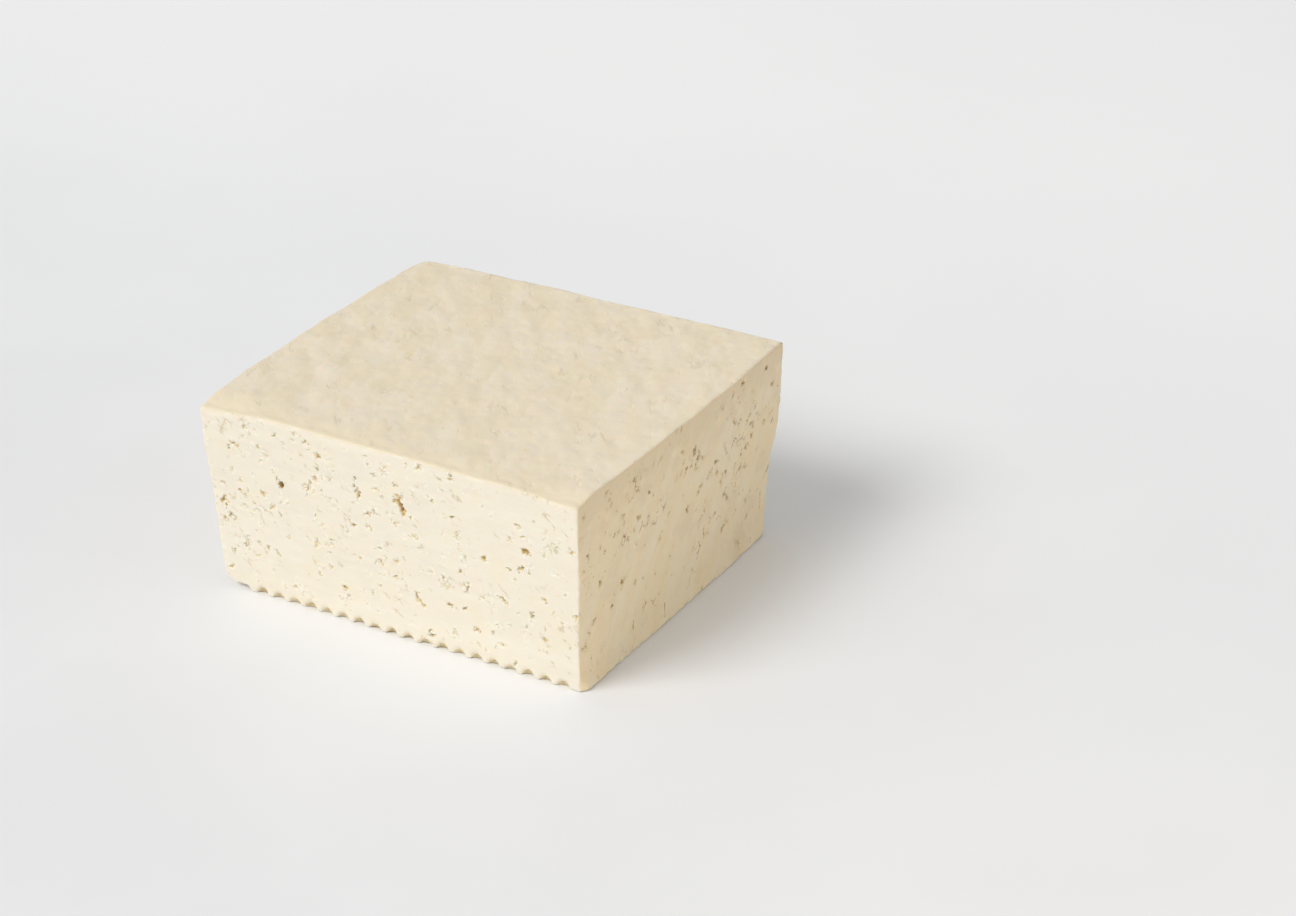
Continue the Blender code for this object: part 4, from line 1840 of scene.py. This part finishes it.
SKIN_FINISH = CurdFinish(
    name="pressed_skin",
    base=(0.874, 0.771, 0.587),
    warm=(0.852, 0.748, 0.546),
    grey=(0.886, 0.790, 0.630),
    fleck=(0.95, 0.88, 0.74),
    patch_lay=Lay((2.6, 1.0, 1.0), (0.0, 0.0, 122.0)),
    patches_per_metre=165.0,
    patch_share=0.7,
    patch_edge=0.6,
    fleck_share=0.5,
    streak_lay=Lay((1.7, 1.0, 1.0), (0.0, 0.0, 122.0)),
    streaks_per_metre=600.0,
    streak_light=0.12,
    nick_lay=Lay((2.2, 1.0, 1.0), (0.0, 0.0, 122.0)),
    nicks_per_metre=340.0,
    nick_width=0.17,
    nick_shade=0.33,
    nick_colour=(0.68, 0.60, 0.42),
    nick_depth=0.08 * MM,
    grain_depth=0.035 * MM,
    stain_strength=0.3,
)

WALL_FINISH = CurdFinish(
    name="mould_wall",
    base=(0.89, 0.80, 0.62),
    warm=(0.90, 0.79, 0.58),
    grey=(0.84, 0.77, 0.62),
    fleck=(0.94, 0.87, 0.72),
    patches_per_metre=120.0,
    patch_share=0.6,
    patch_edge=0.2,
    fleck_share=0.12,
    streak_lay=Lay((1.0, 1.0, 6.0), (0.0, 8.0, 0.0)),
    streaks_per_metre=420.0,
    nick_lay=Lay((1.0, 1.0, 1.6)),
    nick_crowding=-0.03,
    nick_shade=0.4,
    grain_depth=0.03 * MM,
)


# ---- the block
@dataclass(frozen=True)
class FaceDress:
    """A face's finish, and where it lies and how large in the map that a bake uses."""

    finish: CurdFinish
    corner: tuple[float, float]
    scale: float


FINISHES = (LONG_CUT_FINISH, END_CUT_FINISH, SKIN_FINISH, WALL_FINISH)
DRESS_OF = {
    Face.LONG_CUT: FaceDress(LONG_CUT_FINISH, (0.002, 0.002), 5.6),
    Face.END_CUT: FaceDress(END_CUT_FINISH, (0.002, 0.310), 5.6),
    Face.SKIN: FaceDress(SKIN_FINISH, (0.002, 0.618), 3.7),
    Face.LEFT_WALL: FaceDress(WALL_FINISH, (0.645, 0.200), 3.0),
    Face.BACK_WALL: FaceDress(WALL_FINISH, (0.645, 0.002), 3.0),
    Face.UNDERSIDE: FaceDress(WALL_FINISH, (0.560, 0.618), 3.0),
}


@dataclass
class BarRelief:
    """How the relief moves the bar's points, and what it leaves on them.

    ``member`` tells which points lie on each face. ``hollow`` and ``rust`` become attributes.
    """

    form: BlockForm
    bar: Array
    member: dict[Face, Array]
    recess_depth: float = 0.6 * MM
    recess_height: float = 2.2 * MM
    recess_reach: float = 3.0 * MM
    recess_painted_shade: float = 0.10
    groove_painted_shade: float = 0.3
    least_recess_shade: float = 0.005

    def __post_init__(self) -> None:
        """Start with every point unmoved and clean."""
        self.moved = np.zeros_like(self.bar)
        self.hollow = np.zeros(len(self.bar))
        self.rust = np.zeros(len(self.bar))

    def settled(self) -> Array:
        """Return the finished points: moved, settled, and none below the table."""
        points = self.form.settle(self.bar)
        self.moved[:, 2] += np.maximum(-(points[:, 2] + self.moved[:, 2]), 0.0)
        return points + self.moved

    def cut_long(self, tears: TearField) -> None:
        """Give the long cut its tears, drag and drawn-in groove mouths.

        Args:
            tears: The long cut's tears.
        """
        on = self.member[Face.LONG_CUT]
        x, y, up = self.bar[on].T
        along = x - self.form.left
        edge_gap = np.minimum(self.form.height - up, self.form.right_wall(up) - x)
        cut = CutRelief(tears, lay=-4.0, seed=Seed.LONG_CUT_RELIEF)
        inset, deep = cut.inset(along, up, edge_gap)
        stand = up - self.form.underside(x, y)
        share = np.clip(1.0 - stand / self.recess_height, 0.0, 1.0)
        recess = np.sqrt(self.form.arch(x)) * share * share
        self.moved[on, 1] += inset + self.recess_depth * recess
        # Painted shade: the recess at each groove mouth is marked as a shallow hollow, so the shader
        # tints it tan.
        stain_and_shade = self.recess_painted_shade * np.sqrt(recess)
        self.hollow[on] = np.where(stain_and_shade > self.least_recess_shade, np.maximum(deep, stain_and_shade), deep)
        self.rust[on] = tears.rust(along, up)

    def cut_end(self, tears: TearField) -> None:
        """Give the end cut its tears and its rougher drag.

        Args:
            tears: The end cut's tears.
        """
        on = self.member[Face.END_CUT]
        behind, up = self.bar[on, 1] - self.form.front, self.bar[on, 2]
        cut = CutRelief(
            tears,
            lay=60.0,
            seed=Seed.END_CUT_RELIEF,
            # Painted shade: the end cut's tears take their darkest colours at a smaller depth than the
            # long cut's, to look darker on this shaded side.
            full_hollow=0.8 * MM,
            drag_depth=0.08 * MM,
            graze_depth=0.22 * MM,
            lip_height=0.12 * MM,
        )
        inset, deep = cut.inset(behind, up, np.minimum(self.form.height - up, behind))
        self.moved[on, 0] -= inset
        self.hollow[on] = np.maximum(self.hollow[on], deep)
        self.rust[on] = np.maximum(self.rust[on], tears.rust(behind, up))

    def press(self) -> None:
        """Give the skin, the underside and the mould walls their relief."""
        form, bar, member = self.form, self.bar, self.member
        on = member[Face.SKIN]
        x, y = bar[on, 0], bar[on, 1]
        edge_gap = np.minimum(y - form.front, form.right - x)
        self.moved[on, 2] -= SkinRelief(Seed.SKIN_RELIEF).inset(x, y, edge_gap)
        on = member[Face.UNDERSIDE]
        # Painted shade: the underside's grooves are marked as hollows by their arch, so the shader
        # darkens them.
        self.hollow[on] = np.maximum(self.hollow[on], self.groove_painted_shade * form.arch(bar[on, 0]))
        on = member[Face.UNDERSIDE] & ~member[Face.LONG_CUT]
        near = np.clip(1.0 - (bar[on, 1] - form.front) / self.recess_reach, 0.0, 1.0)
        self.moved[on, 1] += self.recess_depth * np.sqrt(form.arch(bar[on, 0])) * near * near
        on = member[Face.LEFT_WALL]
        self.moved[on, 0] += WallRelief(Seed.LEFT_WALL_RELIEF).inset(bar[on, 1], bar[on, 2])
        on = member[Face.BACK_WALL]
        self.moved[on, 1] -= WallRelief(Seed.BACK_WALL_RELIEF).inset(bar[on, 0], bar[on, 2])

    def gaps(self) -> dict[Face, Array]:
        """Return how far the points are inside each face of the bar."""
        form = self.form
        x, y, z = self.bar.T
        return {
            Face.LONG_CUT: y - form.front,
            Face.END_CUT: form.right_wall(z) - x,
            Face.SKIN: form.height - z,
            Face.LEFT_WALL: x - form.left_wall(z),
            Face.BACK_WALL: form.back - y,
            Face.UNDERSIDE: z - form.underside(x, y),
        }

    def round_edges(self) -> None:
        """Soften the edges of the two cuts."""
        gaps = self.gaps()
        moved = np.zeros_like(self.bar)
        for edge in ROUNDED_EDGES:
            taken = np.zeros(len(self.bar), bool)
            for face, other in (edge.faces, edge.faces[::-1]):
                on = self.member[face] & ~taken
                taken |= on
                along = self.bar[on, 3 - face.axis - other.axis]
                inset, shift = edge.bend(gaps[other][on], along)
                moved[on, face.axis] += face.inward * inset
                moved[on, other.axis] += other.inward * shift
        self.moved += moved


@dataclass
class PressedTofu:
    """The whole block of tofu: one closed piece."""

    form: BlockForm
    cut_spacing: float = 0.68 * MM
    skin_spacing: float = 0.90 * MM
    wall_spacing: float = 1.3 * MM
    underside_spacing: float = 0.6 * MM
    long_cut_skin: float = 0.8 * MM
    # How far down the end cut the painted shade of its upper strip reaches.
    end_cut_shade_reach: float = 15.0 * MM
    wall_skin: float = 3.5 * MM
    band_width: float = 9.0 * MM
    reach_wave: float = 5.0 * MM
    skin_waver: float = 0.35
    band_waver: float = 0.25

    def __post_init__(self) -> None:
        """Lay out the tears of both cuts."""
        height = self.form.height / MM
        long_width = self.form.length / MM
        end_width = (self.form.depth - self.form.back_lean) / MM
        long_tears = [*LONG_CUT_TEARS, *LONG_CUT_SMALL.placed(LONG_CUT_NICKS)]
        long_tears += LONG_CUT_SMALL.strewn(long_width, height)
        long_tears += LONG_CUT_FINE.strewn(long_width, height)
        end_tears = [*END_CUT_TEARS, *END_CUT_SMALL.placed(END_CUT_NICKS)]
        end_tears += END_CUT_SMALL.strewn(end_width, height)
        end_tears += END_CUT_FINE.strewn(end_width, height)
        self.long_tears = TearField(long_tears, Seed.LONG_CUT_TEARS)
        self.end_tears = TearField(end_tears, Seed.END_CUT_TEARS)

    def patches(self) -> list[FacePatch]:
        """Return the bar's six faces, which share their edges."""
        form, edges = self.form, BarEdges(self.form)
        cut, skin, wall = self.cut_spacing, self.skin_spacing, self.wall_spacing
        base = self.underside_spacing
        return [
            LongCutPatch(
                form, edges.front_bottom, edges.front_right, edges.front_top, edges.front_left,
                cut, cut / 4.0, tears=self.long_tears,
            ),
            EndCutPatch(
                form, edges.bottom_right, edges.back_right, edges.top_right, edges.front_right,
                cut, cut / 4.0, tears=self.end_tears,
            ),
            SkinPatch(
                form, edges.front_top, edges.top_right, edges.back_top, edges.top_left,
                skin, skin / 2.0,
            ),
            LeftWallPatch(
                form, edges.bottom_left, edges.back_left, edges.top_left, edges.front_left,
                wall, wall / 4.0, foot=form.shelf_height,
            ),
            BackWallPatch(
                form, edges.back_bottom, edges.back_right, edges.back_top, edges.back_left,
                wall, wall / 8.0,
            ),
            UndersidePatch(
                form, edges.front_bottom, edges.bottom_right, edges.back_bottom, edges.bottom_left,
                base, base / 2.0,
            ),
        ]

    def build(self, effects: Effects) -> bpy.types.Object:
        """Build and dress the block.

        Args:
            effects: The shared effects.

        Returns:
            The finished piece.
        """
        bar, corners, faces = self.joined(self.patches())
        relief = BarRelief(self.form, bar, self.membership(len(bar), corners, faces))
        relief.cut_long(self.long_tears)
        relief.cut_end(self.end_tears)
        relief.press()
        relief.round_edges()
        piece = self.piece(relief.settled(), corners, faces)
        self.add_attributes(piece.data, relief)
        self.add_map(piece.data, bar, corners, faces)
        for finish in FINISHES:
            piece.data.materials.append(finish.make(effects))
        return piece

    @staticmethod
    def joined(patches: Sequence[FacePatch]) -> tuple[Array, Array, Array]:
        """Join the faces along their shared edges.

        Args:
            patches: The six faces.

        Returns:
            The bar's points, the triangles, and the face that each triangle belongs to.
        """
        points, corners, faces = [], [], []
        start = 0
        for patch in patches:
            bar, own = patch.triangles()
            points.append(bar)
            corners.append(own + start)
            faces.append(np.full(len(own), patch.face.number))
            start += len(bar)
            log.info("face %s: %d triangles", patch.face.name.lower(), len(own))
        bar, welded = np.unique(np.concatenate(points), axis=0, return_inverse=True)
        return bar, welded.ravel()[np.concatenate(corners)], np.concatenate(faces)

    @staticmethod
    def membership(count: int, corners: Array, faces: Array) -> dict[Face, Array]:
        """Return, for each face, which of the points are on its triangles."""
        points = np.arange(count)
        return {face: np.isin(points, corners[faces == face.number]) for face in Face}

    @staticmethod
    def piece(points: Array, corners: Array, faces: Array) -> bpy.types.Object:
        """Make the mesh object, smooth, with each triangle's finish chosen.

        Args:
            points: Its points.
            corners: Its triangles.
            faces: The face that each triangle belongs to.

        Returns:
            The piece.
        """
        mesh = bpy.data.meshes.new(PIECE)
        mesh.from_pydata(points.tolist(), [], corners.tolist())
        slots = np.array([FINISHES.index(DRESS_OF[face].finish) for face in Face], np.int32)
        mesh.polygons.foreach_set("material_index", slots[faces])
        mesh.polygons.foreach_set("use_smooth", np.ones(len(corners), bool))
        mesh.validate()
        mesh.update()
        piece = bpy.data.objects.new(PIECE, mesh)
        bpy.context.scene.collection.objects.link(piece)
        return piece

    def add_attributes(self, mesh: bpy.types.Mesh, relief: BarRelief) -> None:
        """Write the marks of each point, and how near it is to the skin or its front edge.

        Args:
            mesh: The piece's mesh.
            relief: The bar's moves and marks.
        """
        form, member = self.form, relief.member
        x, y, z = relief.bar.T
        uneven = RippleField(Seed.SKIN_REACH, self.reach_wave).at(x + y, z)
        cut = member[Face.LONG_CUT] | member[Face.END_CUT]
        # On the end cut the reach is long, so the share paints shade over the face's upper strip.
        reach = np.where(member[Face.END_CUT], self.end_cut_shade_reach, self.wall_skin)
        reach = np.where(member[Face.LONG_CUT], self.long_cut_skin, reach)
        reach = reach * (1.0 + self.skin_waver * uneven)
        skin = 1.0 - smooth_ramp((form.height - z) / reach, 0.0, 1.0)
        skin[member[Face.SKIN] & ~cut] = 0.0
        gap = (y - form.front) / (self.band_width * (1.0 + self.band_waver * uneven))
        band = np.where(member[Face.SKIN], 1.0 - smooth_ramp(gap, 0.0, 1.0), 0.0)
        marks = {HOLLOW: relief.hollow, RUST: relief.rust, SKIN_TONE_AND_SHADE: skin, EDGE_BAND: band}
        for name, values in marks.items():
            layer = mesh.attributes.new(name, "FLOAT", "POINT")
            layer.data.foreach_set("value", values.astype(np.float32))

    @staticmethod
    def add_map(mesh: bpy.types.Mesh, bar: Array, corners: Array, faces: Array) -> None:
        """Unroll the six faces side by side in the map that a bake uses.

        Args:
            mesh: The piece's mesh.
            bar: The bar's points.
            corners: The triangles.
            faces: The face that each triangle belongs to.
        """
        flat = np.zeros((len(faces), 3, 2))
        low = bar.min(0)
        for face, dress in DRESS_OF.items():
            own = faces == face.number
            spots = bar[corners[own]][:, :, face.plane] - low[face.plane]
            flat[own] = np.array(dress.corner) + spots * dress.scale
        layer = mesh.uv_layers.new(name="OFBake")
        layer.uv.foreach_set("vector", flat.astype(np.float32).ravel())


# ---- the studio
def outward(azimuth: float, elevation: float) -> Vector:
    """Turn a bearing into a direction.

    Args:
        azimuth: Degrees round from the long cut's side toward the end cut's.
        elevation: Degrees above the table.

    Returns:
        The way out from the block, of length 1.
    """
    turn, rise = math.radians(azimuth), math.radians(elevation)
    flat = math.cos(rise)
    return Vector((math.sin(turn) * flat, -math.cos(turn) * flat, math.sin(rise)))


@dataclass(frozen=True)
class SoftLight:
    """A large soft lamp that looks at the block."""

    name: str
    azimuth: float
    elevation: float
    distance: float
    size: float
    watts: float
    colour: Colour

    def hang(self, aim: Vector) -> None:
        """Hang the lamp, out of the camera's sight and looking at a point."""
        data = bpy.data.lights.new(self.name, "AREA")
        data.shape = "SQUARE"
        data.size = self.size
        data.energy = self.watts
        data.color = self.colour
        lamp = bpy.data.objects.new(self.name, data)
        away = outward(self.azimuth, self.elevation)
        lamp.location = aim + away * self.distance
        lamp.rotation_euler = (-away).to_track_quat("-Z", "Y").to_euler()
        lamp.visible_camera = False
        bpy.context.scene.collection.objects.link(lamp)


@dataclass(frozen=True)
class Studio:
    """The plain pale table, the soft light and the camera."""

    floor_half: float = 4.0
    floor_colour: Colour = (0.885, 0.895, 0.912)
    cloud_shade: float = 0.975
    clouds_per_metre: float = 9.0
    roughness: tuple[float, float] = (0.55, 0.7)
    specular: float = 0.25
    # Painted light: the table's colour grows paler toward the back.
    back_painted_light: Colour = (0.985, 0.995, 1.0)
    back_painted_light_reach: tuple[float, float] = (-0.05, 0.35)
    sky_strength: float = 0.49
    sky_colour: Colour = (1.0, 1.0, 1.0)
    backdrop: Colour = (0.89, 0.905, 0.93)
    lens: float = 89.9
    azimuth: float = 31.775
    elevation: float = 28.108
    roll: float = -1.302
    distance: float = 880.0 * MM
    aim: Triple = (6.9 * MM, 60.35 * MM, 0.0)
    lamp_aim: Triple = (0.0, 0.0, 30.0 * MM)

    def floor(self) -> bpy.types.Object:
        """Lay the table and return it."""
        half = self.floor_half
        mesh = bpy.data.meshes.new("pale_table")
        corners = [(-half, -half, 0.0), (half, -half, 0.0), (half, half, 0.0), (-half, half, 0.0)]
        mesh.from_pydata(corners, [], [(0, 1, 2, 3)])
        table = bpy.data.objects.new("pale_table", mesh)
        bpy.context.scene.collection.objects.link(table)
        mesh.materials.append(self.table_finish())
        return table

    def table_finish(self) -> bpy.types.Material:
        """Make the table's faintly clouded matt white, with painted light that makes it paler toward
        the back.

        Returns:
            The material.
        """
        material = bpy.data.materials.new("pale_table")
        material.use_nodes = True
        sheet = NodeSheet(material.node_tree)
        spot = sheet.place()
        clouds = sheet.noise(spot, self.clouds_per_metre, detail=4.0, roughness=0.55)
        behind = sheet.add("ShaderNodeSeparateXYZ", {0: spot}).outputs["Y"]
        # Painted light: the share of the paler back colour.
        far = sheet.ramp(behind, *self.back_painted_light_reach)
        darker = tuple(value * self.cloud_shade for value in self.floor_colour)
        colour = sheet.blend(sheet.ramp(clouds, 0.35, 0.65), darker, self.floor_colour)
        colour = sheet.blend(far, colour, self.back_painted_light)
        sheet.feed(material.node_tree.nodes["Principled BSDF"], {
            "Base Color": colour,
            "Roughness": sheet.ramp(clouds, 0.3, 0.7, *self.roughness),
            "Specular IOR Level": self.specular,
        })
        return material

    def sky(self) -> None:
        """Light the scene evenly, with a paler backdrop behind the table."""
        world = bpy.data.worlds.new("soft_studio")
        world.use_nodes = True
        bpy.context.scene.world = world
        sheet, nodes = NodeSheet(world.node_tree), world.node_tree.nodes
        lighting = nodes["Background"]
        sheet.feed(lighting, {"Color": self.sky_colour, "Strength": self.sky_strength})
        seen = sheet.add("ShaderNodeBackground", {"Color": self.backdrop}).outputs[0]
        path = sheet.add("ShaderNodeLightPath").outputs["Is Camera Ray"]
        mix = sheet.add("ShaderNodeMixShader", {0: path, 1: lighting.outputs[0], 2: seen})
        sheet.feed(nodes["World Output"], {"Surface": mix.outputs[0]})

    def camera(self) -> None:
        """Set up the camera."""
        data = bpy.data.cameras.new("studio_camera")
        data.lens = self.lens
        data.sensor_width = 36.0
        data.clip_start, data.clip_end = 0.01, 30.0
        camera = bpy.data.objects.new("studio_camera", data)
        away = outward(self.azimuth, self.elevation)
        camera.location = Vector(self.aim) + away * self.distance
        level = (-away).to_track_quat("-Z", "Y").to_matrix().to_4x4()
        tilt = Matrix.Rotation(math.radians(self.roll), 4, "Z")
        camera.matrix_world = Matrix.Translation(camera.location) @ level @ tilt
        bpy.context.scene.collection.objects.link(camera)
        bpy.context.scene.camera = camera

    def set_up(self) -> None:
        """Set up the table, the light and the camera."""
        self.floor()
        self.sky()
        aim = Vector(self.lamp_aim)
        SoftLight("key_light", -32.0, 47.0, 6.0, 3.0, 209.0, (1.0, 0.985, 0.965)).hang(aim)
        SoftLight("warm_fill", 66.0, 16.0, 0.34, 0.25, 0.0755, (1.0, 0.84, 0.66)).hang(aim)
        self.camera()
        view = bpy.context.scene.view_settings
        view.view_transform = "Standard"
        view.look = "None"


def main() -> None:
    """Build the block, dress it, and set up the studio round it."""
    logging.basicConfig(level=logging.INFO, format="%(name)s: %(message)s")
    effects = Effects.build()
    block = PressedTofu(BlockForm.from_frame()).build(effects)
    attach(block, "root")
    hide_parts(NODE)
    log.info("%s: %d triangles", block.name, len(block.data.polygons))
    Studio().set_up()


if __name__ == "__main__":
    main()
